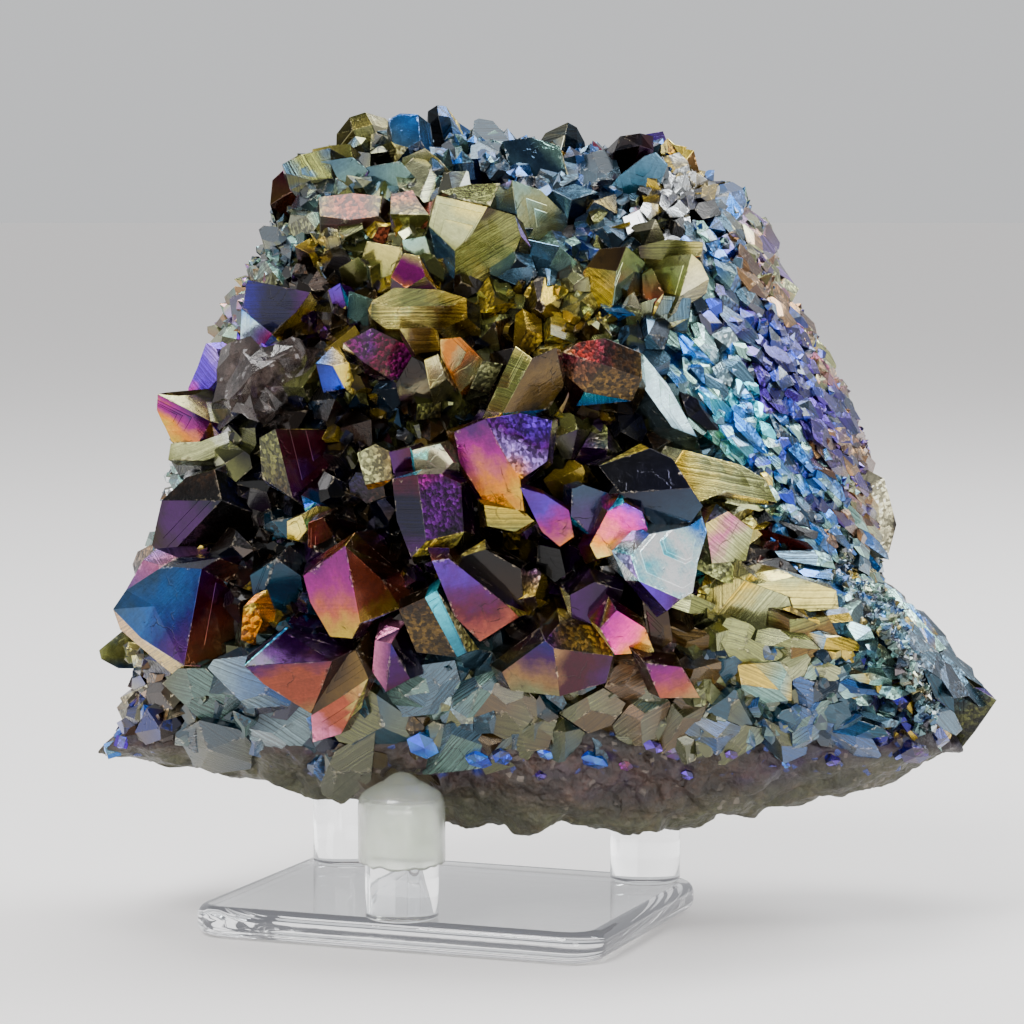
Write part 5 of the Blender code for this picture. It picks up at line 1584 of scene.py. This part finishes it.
def druse_tree():
    """Tiny pointed crystals over a sheet, with a random tone each."""
    tree = bpy.data.node_groups.new("druse", "GeometryNodeTree")
    tree.is_modifier = True
    tree.interface.new_socket("Sheet", in_out="INPUT", socket_type="NodeSocketGeometry")
    for label, kind, value in (("Density", "NodeSocketFloat", 1.0), ("Smallest", "NodeSocketFloat", 0.3 * MM),
                               ("Largest", "NodeSocketFloat", 1.0 * MM), ("Lean", "NodeSocketFloat", 0.5),
                               ("Slender", "NodeSocketFloat", 1.0), ("Seed", "NodeSocketInt", 3)):
        socket = tree.interface.new_socket(label, in_out="INPUT", socket_type=kind)
        socket.default_value = value
    tree.interface.new_socket("Finish", in_out="INPUT", socket_type="NodeSocketMaterial")
    tree.interface.new_socket("Druse", in_out="OUTPUT", socket_type="NodeSocketGeometry")
    wires = Wiring(tree)
    given = wires.add("NodeGroupInput").outputs
    points = wires.add("GeometryNodeDistributePointsOnFaces",
                       {"Mesh": given["Sheet"], "Density": given["Density"], "Seed": given["Seed"]})
    cone = wires.add("GeometryNodeMeshCone", {"Vertices": 5, "Side Segments": 2, "Radius Top": 0.12,
                                              "Radius Bottom": 1.0, "Depth": 1.6})
    lean = wires.add("FunctionNodeRandomValue", data_type="FLOAT_VECTOR")
    reach = wires.add("ShaderNodeVectorMath", {0: (1, 1, 1), "Scale": given["Lean"]}, operation="SCALE")
    back = wires.add("ShaderNodeVectorMath", {0: (-1, -1, -1), "Scale": given["Lean"]}, operation="SCALE")
    wires.join(back.outputs[0], lean.inputs[0])
    wires.join(reach.outputs[0], lean.inputs[1])
    wires.join(given["Seed"], lean.inputs["Seed"])
    turned = wires.add("FunctionNodeRotateEuler", {"Rotation": points.outputs["Rotation"],
                                                   "Rotate By": lean.outputs[0]}, space="LOCAL")
    size = wires.add("FunctionNodeRandomValue", data_type="FLOAT")
    wires.join(given["Smallest"], size.inputs[2])
    wires.join(given["Largest"], size.inputs[3])
    wires.join(given["Seed"], size.inputs["Seed"])
    tall = wires.math("MULTIPLY", size.outputs[1], given["Slender"])
    scale = wires.add("ShaderNodeCombineXYZ", {0: size.outputs[1], 1: size.outputs[1], 2: tall})
    placed = wires.add("GeometryNodeInstanceOnPoints",
                       {"Points": points.outputs["Points"], "Instance": cone.outputs["Mesh"],
                        "Rotation": turned.outputs[0], "Scale": scale.outputs[0]})
    tone = wires.add("FunctionNodeRandomValue", data_type="FLOAT")
    tone.inputs["Seed"].default_value = 5
    stored = wires.add("GeometryNodeStoreNamedAttribute", {"Geometry": placed.outputs[0], "Name": "tone"},
                       data_type="FLOAT", domain="INSTANCE")
    wires.join(tone.outputs[1], stored.inputs["Value"])
    real = wires.add("GeometryNodeRealizeInstances", {"Geometry": stored.outputs[0]})
    painted = wires.add("GeometryNodeSetMaterial", {"Geometry": real.outputs[0], "Material": given["Finish"]})
    wires.add("NodeGroupOutput", {"Druse": painted.outputs[0]})
    return tree


def grow_druse(name, tree, patch, finish, **sizes):
    """A plain mesh of druse on a patch, which is then taken away."""
    grower = patch.modifiers.new("druse", "NODES")
    grower.node_group = tree
    sockets = {item.name: item.identifier for item in tree.interface.items_tree if item.in_out == "INPUT"}
    for label, value in sizes.items():
        grower[sockets[label.capitalize()]] = value
    grower[sockets["Finish"]] = finish
    graph = bpy.context.evaluated_depsgraph_get()
    mesh = bpy.data.meshes.new_from_object(patch.evaluated_get(graph))
    patch.modifiers.clear()
    old = patch.data
    bpy.data.objects.remove(patch)
    bpy.data.meshes.remove(old)
    mesh.name = name
    return link_new(name, mesh)


# ---------------------------------------------------------------- materials
def speckle_group():
    """Fine uneven tone and relief in the material of a mineral."""
    tree = bpy.data.node_groups.new("mineral_speckle", "ShaderNodeTree")
    for label, kind, value in (("Scale", "NodeSocketFloat", 1000.0), ("Amount", "NodeSocketFloat", 0.2),
                               ("Roughness", "NodeSocketFloat", 0.6)):
        socket = tree.interface.new_socket(label, in_out="INPUT", socket_type=kind)
        socket.default_value = value
    for label in ("Tone", "Height"):
        tree.interface.new_socket(label, in_out="OUTPUT", socket_type="NodeSocketFloat")
    wires = Wiring(tree)
    given = wires.add("NodeGroupInput").outputs
    place = wires.add("ShaderNodeTexCoord").outputs["Object"]
    grains = wires.add("ShaderNodeTexNoise", {"Vector": place, "Scale": given["Scale"], "Detail": 4.0,
                                              "Roughness": given["Roughness"]})
    low = wires.math("SUBTRACT", 1.0, given["Amount"])
    high = wires.math("ADD", 1.0, given["Amount"])
    tone = wires.spread(grains.outputs[0], 0.3, 0.7, low, high)
    wires.add("NodeGroupOutput", {"Tone": tone, "Height": grains.outputs[0]})
    return tree


def new_finish(name):
    made = bpy.data.materials.new(name)
    made.use_nodes = True
    shader = made.node_tree.nodes["Principled BSDF"]
    return made, Wiring(made.node_tree), shader


def speckle(wires, scale, amount, roughness=0.6):
    node = wires.add("ShaderNodeGroup", node_tree=SPECKLE)
    wires.fill(node, {"Scale": scale, "Amount": amount, "Roughness": roughness})
    return node.outputs


def attribute(wires, name):
    return wires.add("ShaderNodeAttribute", attribute_name=name).outputs


def film_finish(name, metallic, coat):
    """Quartz under a thin metal film, whose colour runs across each face."""
    made, wires, shader = new_finish(name)
    place = wires.add("ShaderNodeTexCoord").outputs["Object"]
    grain = wires.add("ShaderNodeUVMap", uv_map="grain").outputs[0]
    # The film's four colours, one after another along the face.
    waver = speckle(wires, 260.0, 0.0)["Height"]
    shifted = wires.math("ADD", attribute(wires, "along")["Fac"], wires.spread(waver, 0.3, 0.7, -0.16, 0.16))
    colour = attribute(wires, "film_0")["Color"]
    for number in (1, 2, 3):
        share = wires.math("SUBTRACT", wires.math("MULTIPLY", shifted, 3.0), number - 1.0, clamp=True)
        colour = wires.mix(share, colour, attribute(wires, f"film_{number}")["Color"])
    # Growth lines.
    crooked = wires.add("ShaderNodeTexNoise", {"Vector": grain, "Scale": 0.35, "Detail": 3.0}).outputs[0]
    across = wires.add("ShaderNodeSeparateXYZ", {0: grain}).outputs[0]
    line = wires.math("ADD", across, wires.math("MULTIPLY", crooked, 0.45))
    bands = wires.add("ShaderNodeTexNoise", {"W": line, "Scale": 4.0, "Detail": 5.0, "Roughness": 0.75},
                      noise_dimensions="1D").outputs[0]
    band_tone = wires.spread(bands, 0.35, 0.65, 0.4, 1.6)
    lined = wires.spread(attribute(wires, "lines")["Fac"], 0.0, 1.0, 0.16, 1.0)
    # Rough faces: crumbly relief, and painted glitter, each tiny flake's colour brightened or darkened.
    crusty = attribute(wires, "rough")["Fac"]
    fine = speckle(wires, 2600.0, 0.18)
    broad = speckle(wires, 480.0, 0.16)
    crumbs = speckle(wires, 1300.0, 0.4, 0.8)
    flakes = wires.add("ShaderNodeTexVoronoi", {"Vector": place, "Scale": 2300.0}).outputs
    flake = wires.add("ShaderNodeSeparateColor", {0: flakes[1]}).outputs[0]
    crumb_and_glitter_tone = wires.math("MULTIPLY", crumbs["Tone"],
                            wires.spread(wires.math("POWER", flake, 2.2), 0.0, 1.0, 0.3, 2.5))
    # Hairline cracks in places.
    warp = wires.add("ShaderNodeTexNoise", {"Vector": place, "Scale": 420.0, "Detail": 3.0}).outputs[1]
    bent = wires.add("ShaderNodeVectorMath", {0: place, 1: wires.scaled(warp, 0.0022)},
                     operation="ADD").outputs[0]
    veins = wires.add("ShaderNodeTexVoronoi", {"Vector": bent, "Scale": 230.0},
                      feature="DISTANCE_TO_EDGE").outputs[0]
    cracked = wires.spread(speckle(wires, 210.0, 0.0)["Height"], 0.54, 0.62, 0.0, 0.6)
    crack = wires.math("MULTIPLY", wires.spread(veins, 0.0, 0.025, 1.0, 0.0), cracked)
    # Chipped edges: rougher, with relief, and painted glints, their colour brightened or darkened flake by
    # flake.
    chipped = wires.spread(speckle(wires, 330.0, 0.0)["Height"], 0.5, 0.62, 0.12, 1.0)
    reach = wires.math("MULTIPLY", wires.spread(crumbs["Height"], 0.35, 0.7, 0.0, 0.5), chipped)
    inside_edge = wires.math("SUBTRACT", attribute(wires, "inward")["Fac"], reach)
    chip = wires.spread(inside_edge, -0.08, 0.0, 1.0, 0.0)
    tone = wires.math("MULTIPLY", wires.math("MULTIPLY", fine["Tone"], broad["Tone"]),
                      wires.math("SUBTRACT", 1.0, crack))
    tone = wires.math("MULTIPLY", tone, wires.math("MULTIPLY", wires.eased(band_tone, lined),
                                                   wires.eased(crumb_and_glitter_tone, crusty)))
    colour = wires.scaled(colour, tone)
    painted_glint = wires.mix(wires.math("POWER", flake, 3.0), wires.scaled(colour, 0.35),
                      wires.mix(0.35, wires.scaled(colour, 2.2), (0.75, 0.62, 0.42, 1.0)))
    rugged = wires.math("MAXIMUM", crusty, chip)
    glitter = wires.math("SUBTRACT", wires.math("MULTIPLY", crumbs["Height"], 2.0),
                         wires.math("MULTIPLY", flakes[0], 1.4))
    height = wires.math("MULTIPLY", fine["Height"], 0.12)
    height = wires.math("ADD", height, wires.math("MULTIPLY", lined, wires.math("MULTIPLY", bands, 0.8)))
    height = wires.math("ADD", height, wires.math("MULTIPLY", rugged, glitter))
    height = wires.math("ADD", height, wires.math("MULTIPLY", broad["Height"], 0.5))
    height = wires.math("SUBTRACT", height, crack)
    wires.fill(shader, {
        "Base Color": wires.mix(wires.math("MULTIPLY", chip, 0.85), colour, painted_glint),
        "Roughness": wires.math("ADD", wires.spread(broad["Height"], 0.3, 0.7, 0.06, 0.2),
                                wires.math("MULTIPLY", rugged, 0.2)),
        "Normal": wires.relief(height, 0.5, 0.12 * MM),
        "Metallic": metallic, "IOR": 1.6, "Coat Weight": coat, "Coat Roughness": 0.06, "Coat IOR": 1.55})
    return made


def druse_finish():
    """The same film on crystals too small to show more than one colour."""
    made, wires, shader = new_finish("druse_film")
    # Each tiny crystal's random tone, mostly dark and a few brighter than the film, is painted sparkle and
    # shade.
    chance = wires.math("POWER", attribute(wires, "tone")["Fac"], 1.7)
    tone = wires.spread(chance, 0.0, 1.0, 0.12, 1.3)
    fine = speckle(wires, 1800.0, 0.35)
    colour = wires.scaled(attribute(wires, "film_0")["Color"], wires.math("MULTIPLY", tone, fine["Tone"]))
    wires.fill(shader, {
        "Base Color": colour, "Roughness": wires.spread(fine["Height"], 0.3, 0.7, 0.12, 0.34),
        "Normal": wires.relief(fine["Height"], 0.4, 0.08 * MM),
        "Metallic": 0.7, "Coat Weight": 0.4, "Coat Roughness": 0.08})
    return made


def rock_finish():
    """Crumbly brown matrix with glassy pits and glints of the film."""
    made, wires, shader = new_finish("matrix_rock")
    place = wires.add("ShaderNodeTexCoord").outputs["Object"]
    broad = speckle(wires, 260.0, 0.5)
    fine = speckle(wires, 1500.0, 0.65, 0.8)
    tone = wires.math("MULTIPLY", wires.math("MULTIPLY", broad["Tone"], fine["Tone"]), 0.64)
    colour = wires.scaled(attribute(wires, "film_0")["Color"], tone)
    glints = wires.add("ShaderNodeTexVoronoi", {"Vector": place, "Scale": 1400.0})
    tints = wires.add("ShaderNodeSeparateColor", {0: glints.outputs[1]})
    rare = wires.math("MULTIPLY", wires.spread(tints.outputs[0], 0.965, 0.98, 0.0, 1.0),
                      attribute(wires, "filmed")["Fac"])
    colour = wires.mix(wires.math("MULTIPLY", rare, 0.4), colour, (0.08, 0.12, 0.42, 1.0))
    patches = wires.spread(speckle(wires, 120.0, 0.0)["Height"], 0.45, 0.6, 0.08, 0.34)
    chips = wires.spread(tints.outputs[1], 0.94, 0.98, 0.0, 1.0)
    colour = wires.mix(wires.math("MULTIPLY", chips, patches), colour, (0.3, 0.25, 0.2, 1.0))
    gloss = wires.math("SUBTRACT", wires.spread(fine["Height"], 0.3, 0.7, 0.36, 0.62),
                       wires.math("MULTIPLY", rare, 0.25))
    height = wires.math("ADD", fine["Height"], wires.math("MULTIPLY", glints.outputs[0], -0.7))
    wires.fill(shader, {
        "Base Color": colour, "Roughness": gloss, "Metallic": wires.math("MULTIPLY", rare, 0.7),
        "Normal": wires.relief(height, 0.8, 0.35 * MM), "Coat Weight": 0.1, "Coat Roughness": 0.2})
    return made


def smoky_finish():
    """Bare smoky quartz, broken and see-through, with white specks of painted sparkle on it."""
    made, wires, shader = new_finish("smoky_quartz")
    veils = speckle(wires, 420.0, 0.5)
    frost = speckle(wires, 1500.0, 0.35, 0.7)
    tint = wires.mix(wires.spread(veils["Height"], 0.35, 0.65, 0.0, 1.0),
                     (0.03, 0.021, 0.019, 1.0), (0.15, 0.11, 0.095, 1.0))
    place = wires.add("ShaderNodeTexCoord").outputs["Object"]
    # White specks, where sparse cells meet the veils, are painted sparkle highlights.
    flecks = wires.add("ShaderNodeTexVoronoi", {"Vector": place, "Scale": 1900.0}).outputs[1]
    rare = wires.spread(wires.add("ShaderNodeSeparateColor", {0: flecks}).outputs[0], 0.9, 0.93, 0.0, 1.0)
    painted_sparkle = wires.math("MULTIPLY", rare, wires.spread(veils["Height"], 0.48, 0.58, 0.0, 0.85))
    wires.fill(shader, {
        "Base Color": wires.mix(painted_sparkle, wires.scaled(tint, frost["Tone"]), (0.78, 0.74, 0.74, 1.0)),
        "Roughness": wires.spread(frost["Height"], 0.35, 0.65, 0.03, 0.16),
        "Normal": wires.relief(wires.math("ADD", veils["Height"], frost["Height"]), 0.2, 0.2 * MM),
        "Transmission Weight": 0.75, "IOR": 1.544})
    return made


def acrylic_finish():
    """Polished clear acrylic with a breath of dust."""
    made, wires, shader = new_finish("clear_acrylic")
    haze = speckle(wires, 90.0, 0.0)
    dust = speckle(wires, 1400.0, 0.0, 0.8)
    mottled = wires.math("ADD", wires.spread(haze["Height"], 0.4, 0.75, 0.0, 0.02),
                         wires.spread(dust["Height"], 0.62, 0.75, 0.005, 0.06))
    # The faint bluish Emission is a painted glow, which brightens the acrylic where light trapped inside it
    # would render dark.
    wires.fill(shader, {
        "Base Color": (0.97, 0.985, 0.99, 1.0), "Roughness": mottled,
        "Normal": wires.relief(haze["Height"], 0.05, 0.2 * MM), "Transmission Weight": 1.0, "IOR": 1.49,
        "Emission Color": (0.90, 0.91, 1.0, 1.0), "Emission Strength": 0.035})
    return made


def vinyl_finish():
    """Soft milky vinyl, clouded and a little yellowed."""
    made, wires, shader = new_finish("milky_vinyl")
    clouds = speckle(wires, 180.0, 0.2)
    scuffs = speckle(wires, 1600.0, 0.06, 0.7)
    tint = wires.mix(wires.spread(clouds["Height"], 0.35, 0.65, 0.0, 1.0),
                     (0.72, 0.77, 0.66, 1.0), (0.88, 0.91, 0.84, 1.0))
    wires.fill(shader, {
        "Base Color": wires.scaled(tint, scuffs["Tone"]), "Roughness": 0.24, "IOR": 1.45,
        "Transmission Weight": 0.85, "Subsurface Weight": 0.3, "Subsurface Radius": (0.004, 0.004, 0.003),
        "Coat Weight": 0.3, "Coat Roughness": 0.1})
    return made


# ---------------------------------------------------------------- stand
def lathe(name, profile, sides, place, finish):
    """Turns a closed outline of (radius, height) points round the Z axis."""
    bm = bmesh.new()
    rings = []
    for radius, height in profile:
        count = 1 if radius == 0 else sides
        ring = []
        for number in range(count):
            angle = 2 * math.pi * number / count
            corner = Vector((radius * math.cos(angle), radius * math.sin(angle), height))
            ring.append(bm.verts.new(place + corner))
        rings.append(ring)
    for lower, upper in zip(rings, rings[1:]):
        for number in range(sides):
            following = (number + 1) % sides
            corners = [lower[number % len(lower)], lower[following % len(lower)],
                       upper[following % len(upper)], upper[number % len(upper)]]
            bm.faces.new(list(dict.fromkeys(corners)))
    return close_mesh(name, bm, finish)


def close_mesh(name, bm, finish, sharp=30):
    bmesh.ops.recalc_face_normals(bm, faces=bm.faces)
    mesh = bpy.data.meshes.new(name)
    bm.to_mesh(mesh)
    bm.free()
    mesh.shade_smooth()
    mesh.set_sharp_from_angle(angle=math.radians(sharp))
    return place_mesh(name, mesh, finish)


def peg_profile(bottom, top, edge=0.45 * MM):
    """A rod's outline, its two edges rounded over."""
    inner = PEG_RADIUS - edge
    turns = [math.radians(turn) for turn in (0, 30, 60, 90)]
    foot = [(inner + edge * math.sin(turn), bottom + edge * (1 - math.cos(turn))) for turn in turns]
    head = [(inner + edge * math.cos(turn), top - edge + edge * math.sin(turn)) for turn in turns]
    lip = inner - FLAT_LIP
    return [(0, bottom), (lip, bottom)] + foot + head + [(lip, top), (0, top)]


def make_plate():
    """The flame-polished base plate, its edge rounded over."""
    bm = bmesh.new()
    half_x, half_y = PLATE_LENGTH / 2, PLATE_WIDTH / 2
    rings = []
    levels = []
    for step in range(7):
        angle = math.radians(15 * step)
        levels.append((PLATE_EDGE * (1 - math.sin(angle)), PLATE_EDGE * (1 - math.cos(angle))))
    levels.insert(0, (PLATE_EDGE + FLAT_LIP, 0.0))
    levels = levels + [(inset, PLATE_THICKNESS - height) for inset, height in reversed(levels)]
    for inset, height in levels:
        ring = []
        for corner, (sx, sy) in enumerate(((1, 1), (-1, 1), (-1, -1), (1, -1))):
            middle = Vector((sx * (half_x - PLATE_CORNER), sy * (half_y - PLATE_CORNER), height))
            for step in range(13):
                angle = math.radians(90 * corner + 7.5 * step)
                out = Vector((math.cos(angle), math.sin(angle), 0.0)) * (PLATE_CORNER - inset)
                ring.append(bm.verts.new(middle + out))
        rings.append(ring)
    for lower, upper in zip(rings, rings[1:]):
        for number in range(len(lower)):
            following = (number + 1) % len(lower)
            bm.faces.new((lower[number], lower[following], upper[following], upper[number]))
    bm.faces.new(list(reversed(rings[0])))
    bm.faces.new(rings[-1])
    bmesh.ops.rotate(bm, verts=bm.verts, matrix=Matrix.Rotation(STAND_YAW, 3, "Z"))
    return close_mesh("stand_plate", bm, FINISHES["clear_acrylic"], sharp=50)


def cap_profile():
    """The cap from the top of its bore, down the bore, round the rim and up to its tip."""
    inner, outer = PEG_RADIUS + GAP / 2, CAP_RADIUS
    bore_top = PEG_TOP + GAP
    return ((0, bore_top), (inner - 0.3 * MM, bore_top), (inner, bore_top - 0.3 * MM),
            (inner, CAP_RIM + 0.2 * MM), (inner + 0.15 * MM, CAP_RIM), (outer - 0.3 * MM, CAP_RIM),
            (outer - 0.05 * MM, CAP_RIM + 0.25 * MM), (outer, CAP_RIM + 0.8 * MM),
            (outer, CAP_SHOULDER - 1.6 * MM), (outer * 0.995, CAP_SHOULDER - 0.8 * MM),
            (outer * 0.965, CAP_SHOULDER), (outer * 0.9, CAP_SHOULDER + 0.6 * MM),
            (outer * 0.8, CAP_SHOULDER + 1.1 * MM), (outer * 0.66, CAP_SHOULDER + 1.55 * MM),
            (outer * 0.54, CAP_LEDGE - 0.15 * MM), (outer * 0.49, CAP_LEDGE),
            (outer * 0.42, CAP_LEDGE + 0.1 * MM), (outer * 0.36, CAP_LEDGE + 0.45 * MM),
            (outer * 0.28, CAP_TIP - 0.5 * MM), (outer * 0.17, CAP_TIP - 0.16 * MM),
            (outer * 0.07, CAP_TIP - 0.03 * MM), (0, CAP_TIP))


def make_cap():
    """The vinyl cap, its cut rim a little ragged."""
    cap = lathe("rod_cap", cap_profile(), 96, on_stand(*PEG_PLACES["front"]), FINISHES["milky_vinyl"])
    middle = on_stand(*PEG_PLACES["front"])
    for vert in cap.data.vertices:
        if vert.co.z < CAP_RIM + RAGGED_RIM:
            vert.co.z += noise.noise(vert.co * 900) * 0.3 * MM + noise.noise(vert.co * 250) * 0.35 * MM
        elif vert.co.z < CAP_TIP:
            out = Vector((vert.co.x - middle.x, vert.co.y - middle.y, 0.0))
            if out.length > PEG_RADIUS + GAP:
                vert.co += out.normalized() * noise.noise(vert.co * 200) * 0.12 * MM
    return cap


def make_stand():
    clear = FINISHES["clear_acrylic"]
    made = {make_plate(): "stand_base"}
    for name, (x, y) in PEG_PLACES.items():
        profile = peg_profile(PLATE_THICKNESS + JOINT_GAP, PEG_TOP)
        made[lathe("rod_" + name, profile, 96, on_stand(x, y), clear)] = "stand_peg_" + name
    made[make_cap()] = "front_peg_cap"
    return made


# ---------------------------------------------------------------- studio
FLOOR_REACH = 6.0
FLOOR_COLOUR = (0.62, 0.60, 0.59, 1.0)
STONE_MIDDLE = (0.01, 0.0, 0.055)
STAND_MIDDLE = (0.0, 0.0, 0.01)
# Each lamp's place and target in metres, its two sides, its power and its colour where it isn't white.
LIGHTS = {
    "key": ((-0.35, -0.45, 0.75), STONE_MIDDLE, (0.35, 0.35), 10.0),
    "rim": ((0.55, 0.25, 0.55), STONE_MIDDLE, (0.5, 0.3), 8.0, (0.93, 0.97, 1.0)),
    "front": ((0.25, -0.9, 0.25), STONE_MIDDLE, (0.25, 0.6), 3.5),
    "top": ((0.0, 0.15, 0.8), STONE_MIDDLE, (0.6, 0.3), 7.0),
    "low": ((-0.1, -1.0, 0.1), STAND_MIDDLE, (1.4, 0.14), 3.0),
}


def add_light(name, place, target, size, power, colour=(1, 1, 1)):
    lamp = bpy.data.lights.new(name, "AREA")
    lamp.shape = "RECTANGLE"
    lamp.size, lamp.size_y = size
    lamp.energy = power
    lamp.color = colour
    holder = link_new(name, lamp)
    holder.location = place
    holder.rotation_euler = (Vector(place) - Vector(target)).to_track_quat("Z", "Y").to_euler()


def make_studio():
    """The pale floor, an even grey room, five soft lamps and the camera."""
    floor = bpy.data.meshes.new("floor")
    corners = [(x * FLOOR_REACH, y * FLOOR_REACH, FLOOR) for x, y in ((-1, -1), (1, -1), (1, 1), (-1, 1))]
    floor.from_pydata(corners, [], [(0, 1, 2, 3)])
    made = place_mesh("floor", floor, floor_finish())
    world = bpy.data.worlds.new("studio")
    world.use_nodes = True
    bpy.context.scene.world = world
    wires = Wiring(world.node_tree)
    sky = world.node_tree.nodes["Background"]
    way = wires.add("ShaderNodeTexCoord").outputs["Generated"]
    parts = wires.add("ShaderNodeSeparateXYZ", {0: way}).outputs
    behind = wires.spread(parts[1], -0.5, 0.6, 0.0, 1.0)
    above = wires.spread(parts[2], 0.0, 1.0, 0.0, 1.0)
    low = wires.spread(wires.math("ABSOLUTE", parts[2]), 0.08, 0.3, 0.55, 0.0)
    front = wires.math("MULTIPLY", wires.math("SUBTRACT", 1.0, behind), low)
    tone = wires.math("ADD", wires.math("MULTIPLY", behind, 0.68), wires.math("MULTIPLY", above, 0.35))
    tone = wires.math("ADD", tone, front)
    wires.join(wires.scaled((0.97, 0.98, 1.0), wires.math("ADD", tone, 0.06)), sky.inputs["Color"])
    sky.inputs["Strength"].default_value = 1.0
    for name, row in LIGHTS.items():
        add_light(name, *row)
    lens = bpy.data.cameras.new("camera")
    lens.sensor_width = SENSOR
    lens.lens = SHEET_LENS / SHEET_SIZE * SENSOR
    lens.clip_start = 0.01
    camera = link_new("camera", lens)
    camera.location = EYE
    camera.rotation_euler = BACKWARD.to_track_quat("Z", "Y").to_euler()
    bpy.context.scene.camera = camera


def floor_finish():
    made, wires, shader = new_finish("pale_floor")
    wires.fill(shader, {"Base Color": FLOOR_COLOUR, "Roughness": 0.55, "Emission Color": FLOOR_COLOUR,
                        "Emission Strength": 0.5})
    return made


# ---------------------------------------------------------------- the cluster
# The piece each mosaic goes to, its seed, the way its cells run and how drawn out they are, where it lies,
# their size, how proud they stand and how steeply they fall, both in mm, and how calm their shades are.
MOSAICS = (
    ("middling_crystals", 41, 0, 1.0, on_face, 1.9, (1.0, 2.2), (0.7, 1.2), None),
    ("middling_crystals", 43, 0, 1.0, on_face, 0.9, (-0.4, 0.8), (0.7, 1.3), None),
    ("glassy_shards", 45, 24, 1.8, in_glassy_band, 2.4, (1.0, 2.2), (0.2, 0.45), BAND_CALM),
    ("glassy_shards", 46, -38, 1.7, in_glassy_band, 1.6, (0.3, 1.6), (0.2, 0.5), BAND_CALM),
    ("glassy_shards", 47, 70, 1.3, in_glassy_band, 0.8, (-0.2, 1.1), (0.3, 0.7), BAND_CALM),
    ("middling_crystals", 48, 12, 3.4, on_terraces, 2.0, (1.2, 2.8), (0.2, 0.5), None),
    ("flank_ledges", 42, 48, 3.6, on_side, 1.7, (0.6, 1.5), (0.25, 0.5), FLANK_CALM),
    ("flank_ledges", 44, 54, 2.4, on_side, 1.1, (0.3, 1.2), (0.35, 0.7), FLANK_CALM),
)


def make_crystals():
    """All crystals in drawn, middling and small sizes, as separate pieces."""
    names = ("large_crystals", "middling_crystals", "flank_ledges", "glassy_shards", "rim_crystals")
    gathered = {name: Facets() for name in names}
    draw = random.Random(STEP_SEED)
    for row in CRYSTALS.values():
        if row[5] != ("glass",):
            add_crystal(gathered["large_crystals"], draw, row)
    for name, *row in MOSAICS:
        add_mosaic(gathered[name], *row)
    add_lenses(gathered["glassy_shards"])
    add_rim(gathered["rim_crystals"])
    made = []
    for name, facets in gathered.items():
        piece = facets.make(name, FINISHES["glassy_film" if name == "glassy_shards" else "aura_film"])
        if name != "rim_crystals":
            worn = piece.modifiers.new("worn_edges", "BEVEL")
            worn.width = WORN_EDGE
            worn.segments = 1
            worn.limit_method = "ANGLE"
            worn.angle_limit = WORN_ANGLE
        made.append(piece)
    return made


def make_smoky_chunk():
    """The broken piece of smoky quartz on the left shoulder."""
    points, words = crystal_corners(CRYSTALS["smoky_chunk"])
    bm = bmesh.new()
    middle = sum(points.values(), Vector()) / len(points)
    root = (CORE - middle).normalized()
    front = {letter: bm.verts.new(point) for letter, point in points.items()}
    back = {letter: bm.verts.new(middle + root * 6 * MM + (point - middle) * 0.8)
            for letter, point in points.items()}
    rims = {}
    for word in words:
        ring = list(word)
        if face_normal([points[letter] for letter in ring]).y > 0:
            ring.reverse()
        bm.faces.new([front[letter] for letter in ring])
        bm.faces.new([back[letter] for letter in reversed(ring)])
        rims.update(dict.fromkeys(zip(ring, ring[1:] + ring[:1])))
    for a, b in rims:
        if (b, a) not in rims:
            bm.faces.new((front[b], front[a], back[a], back[b]))
    bmesh.ops.triangulate(bm, faces=bm.faces)
    bmesh.ops.subdivide_edges(bm, edges=bm.edges, cuts=2, use_grid_fill=True)
    for vert in bm.verts:
        vert.co += noise.noise_vector(vert.co * 240) * 1.6 * MM + noise.noise_vector(vert.co * 900) * 0.7 * MM
    return close_mesh("smoky_quartz_chunk", bm, FINISHES["smoky_quartz"], sharp=1)


def on_lobe(u, v):
    angle = math.degrees(math.atan2(MOUND_MIDDLE[1] - v, u - MOUND_MIDDLE[0]))
    share = math.hypot(u - MOUND_MIDDLE[0], v - MOUND_MIDDLE[1]) / rim_reach(angle)
    return (on_flank(u, v) and v < MATRIX_TOP - 5 and u - 800 > (610 - v) * 0.6
            and share < 0.93 and not inside(u, v, SMOOTH_EDGE))


def make_druse(tree):
    """Fine druse over the lobe at the lower right."""
    lobe = make_patch("lobe", on_lobe)
    return [grow_druse("lobe_druse", tree, lobe, FINISHES["druse_film"], density=6.0e6,
                       smallest=0.3 * MM, largest=0.9 * MM, lean=0.8, slender=0.9, seed=3)]


for old in list(bpy.context.scene.collection.objects):
    if old.type in ("LIGHT", "CAMERA"):
        bpy.data.objects.remove(old)
# The rock's noise is drawn anew in each run unless it is given a seed.
noise.seed_set(ROCK_SEED)
SPECKLE = speckle_group()
FINISHES = {
    "aura_film": film_finish("aura_film", metallic=0.82, coat=0.25),
    "glassy_film": film_finish("glassy_film", metallic=0.5, coat=0.5),
    "druse_film": druse_finish(), "matrix_rock": rock_finish(),
    "smoky_quartz": smoky_finish(), "clear_acrylic": acrylic_finish(), "milky_vinyl": vinyl_finish(),
}
make_studio()
cluster = make_crystals()
cluster.append(make_matrix())
cluster.append(make_smoky_chunk())
cluster.extend(make_druse(druse_tree()))
for piece in cluster:
    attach(piece, "root")
    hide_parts("crystal_cluster")
for piece, node in make_stand().items():
    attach(piece, "root")
    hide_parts(node)
